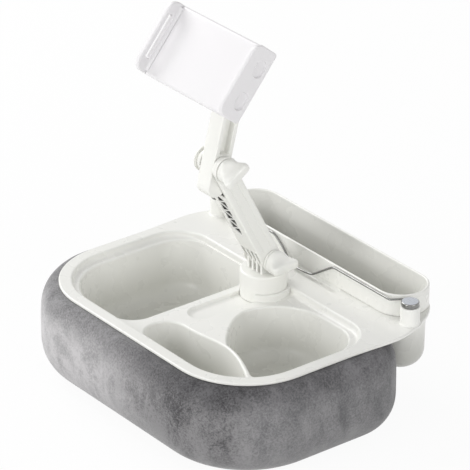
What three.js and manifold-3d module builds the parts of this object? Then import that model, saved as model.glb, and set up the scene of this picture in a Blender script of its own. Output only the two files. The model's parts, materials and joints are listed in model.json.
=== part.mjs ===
// Tablet cushion stand: a lap cushion under a moulded snack tray, a long rear bin with a wire bail,
// and a two-link arm on a swivel that carries a sprung tablet clamp.
// Millimetres, +Z up. The user sits at -Y. Pieces are laid out in the tray's own frame:
// X = 0 on the centre line, Y = 0 at the tray's front edge, Z = 0 on the top of its rim.
import * as THREE from 'three';
import { mergeVertices } from 'three/addons/utils/BufferGeometryUtils.js';
import Module from 'manifold-3d';

const wasm = await Module();
wasm.setup();

// Fits
const clearance = 0.3;
const cutMargin = 1;
const throughCut = 60;
const joinOverlap = 1;
const seamInset = 0.01;

// Tray plate, its recess and its wells
const trayWidth = 320;
const trayLength = 265;
const frontCornerRadius = 78;
const rearBendLength = 79;
const rearBendSide = 45;
const rearBendBack = 28;
const plateThickness = 3;
const trayWall = 2.4;
const rimWidth = 15.5;
const recessDepth = 6.5;
const deckDepth = 34;
const recessRearRadius = 35;
const wellLedge = 6;
const wellRearLedge = 1.5;
const dividerWidth = 46;
const largeWellDepth = 62;
const largeWellFrontCorner = 24;
const largeWellInnerCorner = 27;
const largeWellOuterCorner = 32;
const bowlDepth = 58;
const bowlRearInset = 5.5;
const bowlRearLeftRadius = 50;
const bowlRearRightRadius = 35;
const bowlCheekShare = 0.588;
const crescentDepth = 50;
const crescentLeft = -9.5;
const crescentFrontInset = 5;
const crescentBack = 61;
const crescentTipTurn = -0.72;
const crestInset = 71;
const crestRise = 5;
const hornInset = 24;
const hornDrop = 15;
const wellDraft = 3;
const wellFloorRadius = 16;
const crescentFloorRadius = 12;
const partitionWall = 4;

// Pen groove and swivel socket
const grooveWidth = 25.5;
const grooveLength = 85.5;
const grooveDepth = 10;
const grooveRearRadius = 1;
const swivelInset = 15.5;
const collarRadius = 22.5;
const collarTop = 17.5;
const socketWall = 2.8;
const spigotRadius = 9;
const spigotLength = 8;
const washerFloor = 2;
const washerFlange = 6;
const swivelScrewRadius = 1.7;
const swivelScrewReach = 3;
const swivelHeadRadius = 4;
const swivelHeadHeight = 2.6;
const pocketSpare = 3;

// Rear bin
const binRimHeight = 22;
const binWidth = 53;
const binEndInset = 25;
const binDepth = 62;
const binWall = 2.6;
const binSeat = 2.5;
const binTaper = 0.6;
const binFloorRadius = 15;

// Wire bail, its posts and caps
const postSideInset = 17;
const postSetback = 8.5;
const postRadius = 9.2;
const postHeight = 17.6;
const capRadius = 8.5;
const capHeight = 4.8;
const capFootChamfer = 0.6;
const capTopChamfer = 1.2;
const capStemRadius = 2.6;
const capStemLength = 9;
const wireRadius = 1.3;
const wireStep = 4.5;
const wireBend = 1.6;
const wireKneeGap = 2;
const wireFrontGap = 0.7;
const dipHalfWidth = 44;
const dipFlatHalf = 16;
const dipBottom = 1.7;
const dipBend = 3.5;
const kneeSlope = 0.55;
const scoopHalfWidth = 55;
const scoopRearGap = 0.3;
const scoopWidth = 10;
const scoopDepth = 3.4;

// Cushion
const cushionHeight = 90.7;
const cushionBulge = 15;
const cushionTuck = 18.75;
const cushionTuckPower = 4.4;
const cushionEdgeRadius = 30;
const cushionBinGap = 19;
const cushionRearRadius = 40;
const coverThickness = 3;
const coverLip = 9;
const coreGap = 0.5;

// Arm links
const lowerPivotHeight = 30;
const lowerArmLength = 124.5;
const lowerLean = 27;
const armDepth = 22;
const armWidth = 28;
const combCount = 4;
const combGap = 0.65;
const earThickness = 2.45;
const combWebStart = 30;
const webThickness = 2.5;
const latticeCells = 8;
const latticeWidth = 11;
const latticeBar = 1.6;
const latticeLength = 56;
const sideGrooveDepth = 0.6;
const sideGrooveWidth = 1.2;
const sideGrooveShare = 0.4;
const sideGrooveStop = 4;
const upperArmLength = 82;
const upperLean = -14.3;
const forkEar = 4.3;
const upperArmDepth = 20.2;
const upperArmTail = 30;
const upperChannelDepth = 3;
const upperChannelWidth = 11;
const forkGap = 0.5;
const neckFront = -2;
const neckStop = 4;
const channelStop = 6;

// Pivot hardware
const boltRadius = 3;
const boltHeadRadius = 5;
const boltHeadHeight = 3;
const washerThickness = 2.2;
const knobHubRadius = 11.5;
const knobHubLength = 6;
const wingHalfSpan = 14;
const wingReach = 13;
const wingThickness = 8;
const wingLobe = 4.5;
const wingLobeTurn = 0.62 * Math.PI;
const wingRootHalf = 7.5;
const wingWaist = 5;
const wingDish = 1.2;
const knobWall = 2;
const nutCapHeight = 4.2;
const elbowDiscRadius = 12.4;
const baseDiscRadius = 11.2;
const elbowWingAngle = 32;
const baseWingAngle = 3;

// Ball joint behind the clamp
const ballRadius = 9;
const ballClearance = 0.6;
const socketRadius = 13;
const mouthAngle = 57;
const mouthFlare = 9;
const studRadius = 4;
const lockRingWidth = 2.6;
const lockRingLength = 6;

// Tablet clamp
const clampTilt = -39.5;
const clampOffset = 28;
const clampWidth = 128;
const clampHeight = 71.5;
const clampBody = 15;
const jawRise = 14;
const jawThickness = 5;
const jawCornerRadius = 10;
const clampCornerRadius = 3;
const clampWall = 2.4;
const jawSlotLength = 46;
const jawSlotWidth = 3.6;
const tongueThickness = 3.8;
const tongueSpare = 2.5;
const tongueEndInset = 34.6;
const lugLength = 8;
const rodRadius = 1.5;
const rodInset = 7.85;
const springRadius = 3;
const springWire = 0.5;
const springTurns = 6;
const springTurnSteps = 8;
const dimpleRadius = 7.4;
const dimpleSpacing = 33;
const dimpleDepth = 1.2;
const nutThickness = 3.8;
const nutRadius = 7.5;
const coverScrewInset = 11.6;
const coverScrewRodGap = 10.5;
const coverScrewRadius = 1.6;
const coverScrewLength = 7;
const coverHeadRadius = 3;
const coverHeadHeight = 1.6;
const bossWall = 2;

// Places that follow from the sizes above
const halfTray = trayWidth / 2;
const binRadius = binWidth / 2;
const binHalfRun = halfTray - binEndInset - binRadius;
const binCentreY = trayLength - binRadius;
const binFrontY = trayLength - binWidth;
const recessRearY = binFrontY - deckDepth;
const swivelY = recessRearY - swivelInset;
const grooveFrontY = swivelY - grooveLength;
const postX = halfTray - postSideInset;
const postY = binFrontY + postSetback;
const cushionRearY = binFrontY - cushionBinGap;
const halfArm = armWidth / 2;
const armRadius = armDepth / 2;
const combReach = halfArm - forkGap - earThickness;
const combThickness = (2 * combReach - 2 * (combCount - 1) * combGap) / (2 * combCount - 1);
const combPitch = 2 * (combThickness + combGap);
const upperArmWidth = armWidth - 2 * (forkEar + forkGap);

// Materials
const finish = (color, roughness, metalness) =>
  new THREE.MeshStandardMaterial({ color, roughness, metalness });
const trayWhite = finish(0xe9e8e4, 0.35, 0);
const armWhite = finish(0xe9e8e4, 0.4, 0);
const clampWhite = finish(0xf2f1f3, 0.4, 0);
const velvet = finish(0x8c8a8f, 0.95, 0);
const foam = finish(0xe6e0cf, 0.95, 0);
const chrome = finish(0xb9bbc0, 0.15, 1);
const steel = finish(0x9a9ca0, 0.35, 1);

// Placed meshes
const object = new THREE.Group();

function place(parent, name, geometry, material) {
  geometry.computeVertexNormals();
  const mesh = new THREE.Mesh(geometry, material);
  mesh.name = name;
  parent.add(mesh);
  return mesh;
}

// Solid joins and cuts
function toSolid(geometry) {
  const bare = geometry.clone();
  bare.deleteAttribute('normal');
  bare.deleteAttribute('uv');
  const merged = mergeVertices(bare, 1e-4);
  return new wasm.Manifold(new wasm.Mesh({
    numProp: 3,
    vertProperties: Float32Array.from(merged.attributes.position.array),
    triVerts: Uint32Array.from(merged.index.array),
  }));
}

function toGeometry(solid) {
  const mesh = solid.getMesh();
  const geometry = new THREE.BufferGeometry();
  geometry.setAttribute('position', new THREE.BufferAttribute(Float32Array.from(mesh.vertProperties), 3));
  geometry.setIndex(new THREE.BufferAttribute(Uint32Array.from(mesh.triVerts), 1));
  return geometry;
}

const join = (...pieces) => toGeometry(pieces.map(toSolid).reduce((sum, piece) => sum.add(piece)));
const cut = (base, ...tools) =>
  toGeometry(tools.map(toSolid).reduce((rest, tool) => rest.subtract(tool), toSolid(base)));

// Outlines: closed loops of points, anticlockwise
function roundedRect(x0, y0, x1, y1, frontLeft, frontRight, rearRight, rearLeft, steps = 4) {
  const shape = new THREE.Shape();
  const quarter = Math.PI / 2;
  shape.absarc(x0 + frontLeft, y0 + frontLeft, frontLeft, 2 * quarter, 3 * quarter);
  shape.absarc(x1 - frontRight, y0 + frontRight, frontRight, 3 * quarter, 4 * quarter);
  shape.absarc(x1 - rearRight, y1 - rearRight, rearRight, 0, quarter);
  shape.absarc(x0 + rearLeft, y1 - rearLeft, rearLeft, quarter, 2 * quarter);
  return loop(shape, steps);
}

function loop(shape, steps = 4) {
  const points = shape.getPoints(steps);
  return points.filter((p, i) => p.distanceTo(points[(i + points.length - 1) % points.length]) > 1e-3);
}

function circle(x, y, radius, sides = 24) {
  return Array.from({ length: sides }, (_, i) => {
    const turn = (2 * Math.PI * i) / sides;
    return new THREE.Vector2(x + radius * Math.cos(turn), y + radius * Math.sin(turn));
  });
}

// Every edge moved outwards by the same distance (inwards where it is negative)
function grow(points, distance) {
  const count = points.length;
  const normal = (a, b) => new THREE.Vector2(b.y - a.y, a.x - b.x).normalize();
  return points.map((p, i) => {
    const before = normal(points[(i + count - 1) % count], p);
    const after = normal(p, points[(i + 1) % count]);
    const sum = before.clone().add(after);
    return p.clone().addScaledVector(sum, distance / (1 + before.dot(after)));
  });
}

// A closed body through stacked rings, given from the bottom up
function loft(rings) {
  const count = rings[0].points.length;
  const positions = rings.flatMap(({ points, z }) => points.flatMap((p) => [p.x, p.y, z]));
  const index = [];
  for (let ring = 0; ring + 1 < rings.length; ring += 1) {
    for (let i = 0; i < count; i += 1) {
      const a = ring * count + i;
      const b = ring * count + ((i + 1) % count);
      index.push(a, b, b + count, a, b + count, a + count);
    }
  }
  const cap = THREE.ShapeUtils.triangulateShape(rings[0].points, []);
  cap.forEach(([a, b, c]) => index.push(a, c, b));
  const top = (rings.length - 1) * count;
  const lid = THREE.ShapeUtils.triangulateShape(rings[rings.length - 1].points, []);
  lid.forEach(([a, b, c]) => index.push(top + a, top + b, top + c));
  const geometry = new THREE.BufferGeometry();
  geometry.setAttribute('position', new THREE.Float32BufferAttribute(positions, 3));
  geometry.setIndex(index);
  return geometry;
}

const slab = (points, z0, z1) => loft([{ points, z: z0 }, { points, z: z1 }]);
const box = (x0, x1, y0, y1, z0, z1) => slab(rectangle(x0, y0, x1, y1), z0, z1);
const rod = (x, y, radius, z0, z1, sides = 24) => slab(circle(x, y, radius, sides), z0, z1);

function rectangle(x0, y0, x1, y1) {
  return [[x0, y0], [x1, y0], [x1, y1], [x0, y1]].map(([x, y]) => new THREE.Vector2(x, y));
}

// A body drawn in the Y-Z plane and carried from x0 to x1
function sideSlab(points, x0, x1) {
  const geometry = slab(points, x0, x1);
  const turn = new THREE.Matrix4().makeBasis(
    new THREE.Vector3(0, 1, 0), new THREE.Vector3(0, 0, 1), new THREE.Vector3(1, 0, 0));
  return geometry.applyMatrix4(turn);
}

const crossRod = (y, z, radius, x0, x1, sides = 24) => sideSlab(circle(y, z, radius, sides), x0, x1);

// An outline drawn in towards the middle of its box, by the same distance on all four sides
function shrink(points, distance) {
  const bounds = new THREE.Box2().setFromPoints(points);
  const middle = bounds.getCenter(new THREE.Vector2());
  const size = bounds.getSize(new THREE.Vector2());
  const scale = new THREE.Vector2(1 - (2 * distance) / size.x, 1 - (2 * distance) / size.y);
  return points.map((p) => p.clone().sub(middle).multiply(scale).add(middle));
}

// A moulded hollow: straight drafted walls and a floor that turns up through a radius
function hollow(points, top, floor, radius, draft, steps = 2) {
  const rings = [];
  for (let step = 0; step <= steps; step += 1) {
    const turn = (Math.PI / 2) * (step / steps);
    const inset = draft + radius * (1 - Math.sin(turn));
    rings.push({ points: shrink(points, inset), z: floor + radius * (1 - Math.cos(turn)) });
  }
  rings.push({ points, z: top });
  return loft(rings);
}

// Tray outlines
const trayOutline = (() => {
  const shape = new THREE.Shape();
  const bendY = trayLength - rearBendLength;
  const sideY = trayLength - rearBendSide;
  const backX = binHalfRun + rearBendBack;
  const cornerX = halfTray - frontCornerRadius;
  shape.absarc(-cornerX, frontCornerRadius, frontCornerRadius, Math.PI, 1.5 * Math.PI);
  shape.absarc(cornerX, frontCornerRadius, frontCornerRadius, 1.5 * Math.PI, 2 * Math.PI);
  shape.lineTo(halfTray, bendY);
  shape.bezierCurveTo(halfTray, sideY, backX, trayLength, binHalfRun, trayLength);
  shape.lineTo(-binHalfRun, trayLength);
  shape.bezierCurveTo(-backX, trayLength, -halfTray, sideY, -halfTray, bendY);
  return loop(shape, 5);
})();
const recessSide = halfTray - rimWidth;
const recessFrontRadius = frontCornerRadius - rimWidth;
const recessOutline = roundedRect(-recessSide, rimWidth, recessSide, recessRearY,
  recessFrontRadius, recessFrontRadius, recessRearRadius, recessRearRadius);
const wellSide = recessSide - wellLedge - wellRearLedge;
const wellFront = rimWidth + wellLedge;
const wellRear = recessRearY - wellRearLedge;
const wellFrontRadius = recessFrontRadius - wellLedge;
const halfDivider = dividerWidth / 2;
const largeWellOutline = roundedRect(-wellSide, wellFront, -halfDivider, wellRear,
  wellFrontRadius, largeWellFrontCorner, largeWellInnerCorner, largeWellOuterCorner);

// The crescent's back edge runs over a crest to a horn, and the bowl's front edge follows one wall behind.
// The curves' handles are offsets from those named points.
const crescentFront = rimWidth + crescentFrontInset;
const crestX = wellSide - crestInset;
const crestY = crescentBack + crestRise;
const hornX = wellSide - hornInset;
const hornY = crestY - hornDrop;
const crescentOutline = (() => {
  const shape = new THREE.Shape();
  const midY = (crescentFront + crescentBack) / 2;
  const bend = recessSide - recessFrontRadius;
  const tipRadius = recessFrontRadius - crescentFrontInset;
  const tip = new THREE.Vector2(Math.cos(crescentTipTurn), Math.sin(crescentTipTurn))
    .multiplyScalar(tipRadius).add(new THREE.Vector2(bend, rimWidth + recessFrontRadius));
  shape.moveTo(crescentLeft + 22, crescentFront);
  shape.lineTo(bend, crescentFront);
  shape.absarc(bend, rimWidth + recessFrontRadius, tipRadius, -Math.PI / 2, crescentTipTurn);
  shape.bezierCurveTo(tip.x + 4, tip.y + 5, hornX + 8, hornY - 5, hornX, hornY);
  shape.bezierCurveTo(hornX - 15, crestY - 8, crestX + 18, crestY - 1, crestX, crestY);
  shape.bezierCurveTo(crestX - 16, crestY + 1,
    crescentLeft + 46, crescentBack, crescentLeft + 24, crescentBack);
  shape.bezierCurveTo(crescentLeft + 7, crescentBack, crescentLeft, midY + 13, crescentLeft, midY);
  shape.bezierCurveTo(crescentLeft, midY - 12,
    crescentLeft + 8, crescentFront, crescentLeft + 22, crescentFront);
  return loop(shape, 4);
})();
const bowlOutline = (() => {
  const shape = new THREE.Shape();
  const rear = wellRear - bowlRearInset;
  const rearRight = new THREE.Vector2(wellSide - bowlRearRightRadius, rear - bowlRearRightRadius);
  const rearLeft = new THREE.Vector2(halfDivider + bowlRearLeftRadius, rear - bowlRearLeftRadius);
  const side = new THREE.Vector2(wellSide, rimWidth + recessFrontRadius + 2);
  const start = new THREE.Vector2(crestX - 1, crestY + partitionWall);
  shape.moveTo(hornX + 4, hornY + partitionWall - 0.5);
  shape.bezierCurveTo(hornX + 15, hornY - 4, side.x, side.y - 22, side.x, side.y);
  shape.absarc(rearRight.x, rearRight.y, bowlRearRightRadius, 0, Math.PI / 2);
  shape.absarc(rearLeft.x, rearLeft.y, bowlRearLeftRadius, Math.PI / 2, Math.PI);
  const cheekY = start.y + bowlCheekShare * (rearLeft.y - start.y);
  shape.bezierCurveTo(halfDivider + 4, cheekY, start.x - 9, start.y + 3.5, start.x, start.y);
  shape.bezierCurveTo(crestX + 17, crestY + 3, hornX - 14, hornY + partitionWall + 7,
    hornX + 4, hornY + partitionWall - 0.5);
  return loop(shape, 4);
})();

const wells = [
  { points: largeWellOutline, depth: largeWellDepth, radius: wellFloorRadius },
  { points: crescentOutline, depth: crescentDepth, radius: crescentFloorRadius },
  { points: bowlOutline, depth: bowlDepth, radius: wellFloorRadius },
];
const recessFloor = -recessDepth;
const halfGroove = grooveWidth / 2;
const grooveOutline = roundedRect(-halfGroove, grooveFrontY, halfGroove, swivelY,
  halfGroove, halfGroove, grooveRearRadius, grooveRearRadius);

// A slot-shaped outline round the bin's centre line
function stadium(radius) {
  return roundedRect(-binHalfRun - radius, binCentreY - radius, binHalfRun + radius, binCentreY + radius,
    ...Array(4).fill(radius));
}

const binThroat = binRadius - binSeat;
const scoopOutline = (() => {
  const rear = binFrontY + scoopRearGap;
  const corners = Array(4).fill(scoopWidth / 2);
  return roundedRect(-scoopHalfWidth, rear - scoopWidth, scoopHalfWidth, rear, ...corners);
})();

const socketOuter = collarRadius + clearance + socketWall;

// What hangs under the tray's plate: the tub of the recess, the wells, the groove and the scoop
function trayUnderbody() {
  const tub = slab(grow(recessOutline, trayWall), recessFloor - trayWall, -plateThickness / 2);
  const shells = wells.map(({ points, depth, radius }) =>
    hollow(grow(points, trayWall), recessFloor, -depth - trayWall, radius + trayWall, wellDraft));
  const groove = slab(grow(grooveOutline, trayWall), -grooveDepth - trayWall, recessFloor);
  const scoop = slab(grow(scoopOutline, trayWall), -scoopDepth - trayWall, -plateThickness / 2);
  return join(tub, ...shells, groove, scoop);
}

function trayGeometry() {
  const plate = slab(trayOutline, -plateThickness, 0);
  const recess = slab(recessOutline, recessFloor, cutMargin);
  const pedestal = rod(0, swivelY, socketOuter, -grooveDepth - clearance - socketWall, 0);
  const posts = [-postX, postX].map((x) => rod(x, postY, postRadius, -plateThickness, postHeight, 24));
  const shell = join(cut(join(plate, trayUnderbody()), recess), pedestal, ...posts);
  const wellCuts = wells.map(({ points, depth, radius }) =>
    hollow(points, recessFloor + cutMargin, -depth, radius, wellDraft));
  const groove = slab(grooveOutline, -grooveDepth, cutMargin);
  const socket = rod(0, swivelY, collarRadius + clearance, -grooveDepth - clearance, cutMargin);
  const spigotHole = rod(0, swivelY, spigotRadius + clearance, -throughCut, cutMargin, 24);
  const throat = slab(stadium(binThroat), -plateThickness - cutMargin, cutMargin);
  const scoop = slab(scoopOutline, -scoopDepth, cutMargin);
  const boreFloor = postHeight - capStemLength - clearance;
  const bores = [-postX, postX].map((x) =>
    rod(x, postY, capStemRadius + clearance, boreFloor, postHeight + cutMargin, 16));
  return cut(shell, ...wellCuts, groove, socket, spigotHole, throat, scoop, ...bores);
}

place(object, 'tray', trayGeometry(), trayWhite);

// Rear bin: its rim wall stands on the deck and its tub drops through the throat
function binGeometry() {
  const tubRadius = binThroat - clearance;
  const skirt = slab(stadium(binRadius), clearance, binRimHeight);
  const tubTop = clearance + joinOverlap;
  const tub = hollow(stadium(tubRadius), tubTop, -binDepth, binFloorRadius + binWall, binTaper);
  const inside = join(
    hollow(stadium(tubRadius - binWall), 0, -binDepth + binWall, binFloorRadius, binTaper),
    loft([
      { points: stadium(tubRadius - binWall), z: 0 },
      { points: stadium(binRadius - binWall), z: binRimHeight },
      { points: stadium(binRadius - binWall), z: binRimHeight + cutMargin },
    ]));
  return cut(join(skirt, tub), inside);
}

place(object, 'rear_bin', binGeometry(), trayWhite);

// Chrome caps on the posts; the wire's ends turn in holes through their sides
const bailZ = postHeight + clearance + capHeight / 2;

function capGeometry(side) {
  const base = postHeight + clearance;
  const profile = [
    [0, base - capStemLength], [capStemRadius, base - capStemLength], [capStemRadius, base],
    [capRadius - capFootChamfer, base], [capRadius, base + capFootChamfer],
    [capRadius, base + capHeight - capTopChamfer], [capRadius - capTopChamfer, base + capHeight],
    [0, base + capHeight],
  ].map(([r, z]) => new THREE.Vector2(r, z));
  const turned = new THREE.LatheGeometry(profile, 20).rotateX(Math.PI / 2)
    .translate(side * postX, postY, 0);
  const bore = crossRod(postY, bailZ, wireRadius + clearance,
    postX - capRadius - cutMargin, postX - capRadius / 2, 12);
  return cut(turned, side > 0 ? bore : mirrored(bore));
}

function mirrored(geometry) {
  const flipped = geometry.clone().applyMatrix4(new THREE.Matrix4().makeScale(-1, 1, 1));
  const index = Array.from(flipped.index.array);
  for (let i = 0; i < index.length; i += 3) {
    [index[i + 1], index[i + 2]] = [index[i + 2], index[i + 1]];
  }
  flipped.setIndex(index);
  return flipped;
}

place(object, 'post_cap_left', capGeometry(-1), chrome);
place(object, 'post_cap_right', capGeometry(1), chrome);

// Wire bail: out of one cap, forward to the bin's front wall, along it with a rounded dip, and back
function bailGeometry() {
  const runY = binFrontY - wireFrontGap - wireRadius;
  const endX = postX - capRadius / 2 - clearance;
  const kneeX = postX - capRadius - wireKneeGap;
  const runX = kneeX - (postY - runY) * kneeSlope;
  const slope = (bailZ - dipBottom) / (dipHalfWidth - dipFlatHalf);
  const half = [
    [endX, postY, bailZ], [kneeX + wireBend, postY, bailZ], [kneeX - wireBend, postY - wireBend, bailZ],
    [runX + wireBend, runY + wireBend, bailZ], [runX - wireBend, runY, bailZ],
    [dipHalfWidth + dipBend, runY, bailZ], [dipHalfWidth - dipBend, runY, bailZ - dipBend * slope],
    [dipFlatHalf + dipBend, runY, dipBottom + dipBend * slope], [dipFlatHalf - dipBend, runY, dipBottom],
  ].map(([x, y, z]) => new THREE.Vector3(x, y, z));
  const other = half.map((p) => new THREE.Vector3(-p.x, p.y, p.z)).reverse();
  const path = new THREE.CatmullRomCurve3([...half, ...other], false, 'centripetal');
  const section = new THREE.Shape(circle(0, 0, wireRadius, 6));
  const steps = Math.round(path.getLength() / wireStep);
  return new THREE.ExtrudeGeometry(section, { steps, extrudePath: path, bevelEnabled: false });
}

place(object, 'wire_bail', bailGeometry(), chrome);

// Cushion: swollen sides that draw in under the rim and round under to a flat base
const cushionTop = -plateThickness - clearance;
const cushionSteps = 5;
const cushionOutline = roundedRect(-halfTray, 0, halfTray, cushionRearY,
  frontCornerRadius, frontCornerRadius, cushionRearRadius, cushionRearRadius);

function cushionRings(inset, steps = cushionSteps) {
  const base = cushionTop - cushionHeight + inset;
  const radius = cushionEdgeRadius - inset;
  const rings = [];
  for (let step = 0; step <= steps; step += 1) {
    const turn = (Math.PI / 2) * (step / steps);
    rings.push({
      points: grow(cushionOutline, cushionBulge - inset - radius * (1 - Math.sin(turn))),
      z: base + radius * (1 - Math.cos(turn)),
    });
  }
  for (let step = 1; step <= steps; step += 1) {
    const share = Math.sin((Math.PI / 2) * (step / steps));
    rings.push({
      points: grow(cushionOutline, cushionBulge - cushionTuck * share ** cushionTuckPower - inset),
      z: cushionTop - (cushionHeight - cushionEdgeRadius) * (1 - share),
    });
  }
  return rings;
}

const washerTop = -grooveDepth - clearance - socketWall - clearance;
const washerFoot = -grooveDepth - spigotLength - clearance - washerFloor;
const pocketFloor = washerFoot - swivelHeadHeight - pocketSpare;
const mouthOutline = grow(cushionOutline, -coverLip);
const coverInside = loft([
  ...cushionRings(coverThickness, 4).slice(0, -1),
  { points: mouthOutline, z: cushionTop - coverThickness },
  { points: mouthOutline, z: cushionTop + cutMargin },
]);
const pocketGap = trayWall + 2 * clearance;
const swivelPocket = rod(0, swivelY, socketOuter + pocketGap, pocketFloor, 0);
const pockets = [
  ...wells.map(({ points, depth }) => slab(grow(points, pocketGap), -depth - pocketGap, 0)),
  slab(grow(recessOutline, pocketGap), recessFloor - pocketGap, 0),
  slab(grow(grooveOutline, pocketGap), -grooveDepth - pocketGap, 0),
  swivelPocket,
];
place(object, 'cushion_cover', cut(loft(cushionRings(0)), coverInside, ...pockets), velvet);

const coreRings = cushionRings(coverThickness + coreGap, 2).slice(0, -1);
const coreTop = cushionTop - coverThickness - coreGap;
coreRings.push({ points: grow(mouthOutline, -coreGap), z: coreTop });
place(object, 'cushion_core', cut(loft(coreRings), ...pockets), foam);

// Swivel base: a collar that turns in the socket, with a comb of plates for the lower hinge
const swivel = new THREE.Group();
swivel.position.set(0, swivelY, 0);
object.add(swivel);

function swivelGeometry() {
  const collar = rod(0, 0, collarRadius, -grooveDepth, collarTop);
  const spigot = rod(0, 0, spigotRadius, -grooveDepth - spigotLength, 0, 24);
  const plates = Array.from({ length: combCount }, (_, i) => {
    const x = (i - (combCount - 1) / 2) * combPitch;
    const profile = new THREE.Shape();
    profile.moveTo(-armRadius, collarTop - cutMargin);
    profile.lineTo(armRadius, collarTop - cutMargin);
    profile.absarc(0, lowerPivotHeight, armRadius, 0, Math.PI);
    return sideSlab(loop(profile, 5), x - combThickness / 2, x + combThickness / 2);
  });
  const bore = crossRod(0, lowerPivotHeight, boltRadius + clearance, -armWidth, armWidth, 16);
  const screwBore = rod(0, 0, swivelScrewRadius + clearance, -grooveDepth - spigotLength - cutMargin,
    -grooveDepth + swivelScrewReach + cutMargin, 12);
  return cut(join(collar, spigot, ...plates), bore, screwBore);
}

place(swivel, 'swivel_base', swivelGeometry(), armWhite);

// The washer and screw under the deck that hold the collar in its socket
const retainer = cut(
  rod(0, 0, spigotRadius + washerFlange, washerFoot, washerTop, 24),
  rod(0, 0, spigotRadius + clearance, washerFoot + washerFloor, washerTop + cutMargin, 24),
  rod(0, 0, swivelScrewRadius + clearance, washerFoot - cutMargin, washerTop, 12));
place(swivel, 'swivel_retainer', retainer, armWhite);
const screwProfile = [
  [0, washerFoot - swivelHeadHeight], [swivelHeadRadius, washerFoot - swivelHeadHeight],
  [swivelHeadRadius, washerFoot - clearance], [swivelScrewRadius, washerFoot - clearance],
  [swivelScrewRadius, -grooveDepth + swivelScrewReach], [0, -grooveDepth + swivelScrewReach],
].map(([r, z]) => new THREE.Vector2(r, z));
place(swivel, 'swivel_screw', new THREE.LatheGeometry(screwProfile, 16).rotateX(Math.PI / 2), steel);

// Links: each group's origin is its lower pivot, its +Z runs along the link and +Y is its back
const lowerLink = new THREE.Group();
lowerLink.position.set(0, 0, lowerPivotHeight);
lowerLink.rotation.x = THREE.MathUtils.degToRad(lowerLean);
swivel.add(lowerLink);
const upperLink = new THREE.Group();
upperLink.position.set(0, 0, lowerArmLength);
upperLink.rotation.x = THREE.MathUtils.degToRad(upperLean - lowerLean);
lowerLink.add(upperLink);
const clamp = new THREE.Group();
clamp.position.set(0, 0, upperArmLength);
clamp.rotation.x = THREE.MathUtils.degToRad(clampTilt - upperLean);
upperLink.add(clamp);

// A straight-sided plate with round ends, from pivot to pivot
function linkProfile(y, z0, z1, radius) {
  const shape = new THREE.Shape();
  shape.absarc(y, z1, radius, 0, Math.PI);
  shape.absarc(y, z0, radius, Math.PI, 2 * Math.PI);
  return loop(shape, 5);
}

const webStop = lowerArmLength - upperArmTail - joinOverlap;

function lowerArmGeometry() {
  const earInner = combReach + forkGap;
  const forkInner = upperArmWidth / 2 + forkGap;
  const sides = [-1, 1].flatMap((side) => [
    sideSlab(linkProfile(0, 0, lowerArmLength, armRadius), ...ordered(side * earInner, side * halfArm)),
    sideSlab(linkProfile(0, webStop, lowerArmLength, armRadius - seamInset),
      ...ordered(side * forkInner, side * (earInner + joinOverlap))),
  ]);
  const fronts = [-armRadius, armRadius - webThickness].map((y) =>
    box(-earInner - joinOverlap, earInner + joinOverlap, y, y + webThickness, combWebStart, webStop));
  const ribs = Array.from({ length: combCount - 1 }, (_, i) => {
    const x = (i - (combCount - 2) / 2) * combPitch;
    return sideSlab(linkProfile(0, 0, combWebStart, armRadius - 2 * seamInset),
      x - combThickness / 2, x + combThickness / 2);
  });
  const bores = [0, lowerArmLength].map((z) =>
    crossRod(0, z, boltRadius + clearance, -armWidth, armWidth, 16));
  const grooves = [-1, 1].flatMap((side) => [-sideGrooveShare, sideGrooveShare].map((share) => {
    const y = share * armRadius;
    return box(...ordered(side * (halfArm - sideGrooveDepth), side * (halfArm + cutMargin)),
      y - sideGrooveWidth / 2, y + sideGrooveWidth / 2,
      armRadius + sideGrooveStop, lowerArmLength - elbowDiscRadius - sideGrooveStop);
  }));
  return cut(join(...sides, ...fronts, ...ribs), ...bores, ...grooves, ...latticeCuts());
}

const ordered = (a, b) => [Math.min(a, b), Math.max(a, b)];

// Alternating triangles through the front web
function latticeCuts() {
  const pitch = latticeLength / latticeCells;
  const top = webStop - webThickness;
  const half = latticeWidth / 2;
  const inset = latticeBar / 2;
  return Array.from({ length: latticeCells }, (_, i) => {
    const side = i % 2 === 0 ? 1 : -1;
    const z = top - (i + 0.5) * pitch;
    const corners = [
      [side * half, z + pitch - inset * 2], [-side * (half - 2 * inset), z],
      [side * half, z - pitch + inset * 2],
    ];
    const ring = corners.map(([x, height]) => new THREE.Vector2(x, height));
    const wound = THREE.ShapeUtils.isClockWise(ring) ? ring.reverse() : ring;
    return slab(wound, -webThickness - cutMargin, webThickness + cutMargin)
      .rotateX(Math.PI / 2).translate(0, -armRadius + webThickness / 2, 0);
  });
}

place(lowerLink, 'lower_arm', lowerArmGeometry(), armWhite);

const knobFoot = halfArm + washerThickness + 2 * clearance;
const boltEnd = knobFoot + knobHubLength - knobWall;

// Pivot hardware on a link: washer disc, bolt, nut cap and wing knob on the axis X at height z
function pivotHardware(prefix, link, z, discRadius) {
  const washer = cut(crossRod(0, z, discRadius, halfArm + clearance, halfArm + clearance + washerThickness),
    crossRod(0, z, boltRadius + clearance, 0, armWidth, 16));
  place(link, `${prefix}_washer`, washer, armWhite);
  const headX = -halfArm - clearance;
  const bolt = join(crossRod(0, z, boltRadius, headX - joinOverlap, boltEnd, 16),
    crossRod(0, z, boltHeadRadius, headX - boltHeadHeight, headX, 6));
  place(link, `${prefix}_bolt`, bolt, steel);
  const cap = cut(crossRod(0, z, discRadius, headX - nutCapHeight, headX),
    crossRod(0, z, boltHeadRadius + clearance, headX - boltHeadHeight - clearance, headX + cutMargin, 6));
  place(link, `${prefix}_nut_cap`, cap, armWhite);
}

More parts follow.
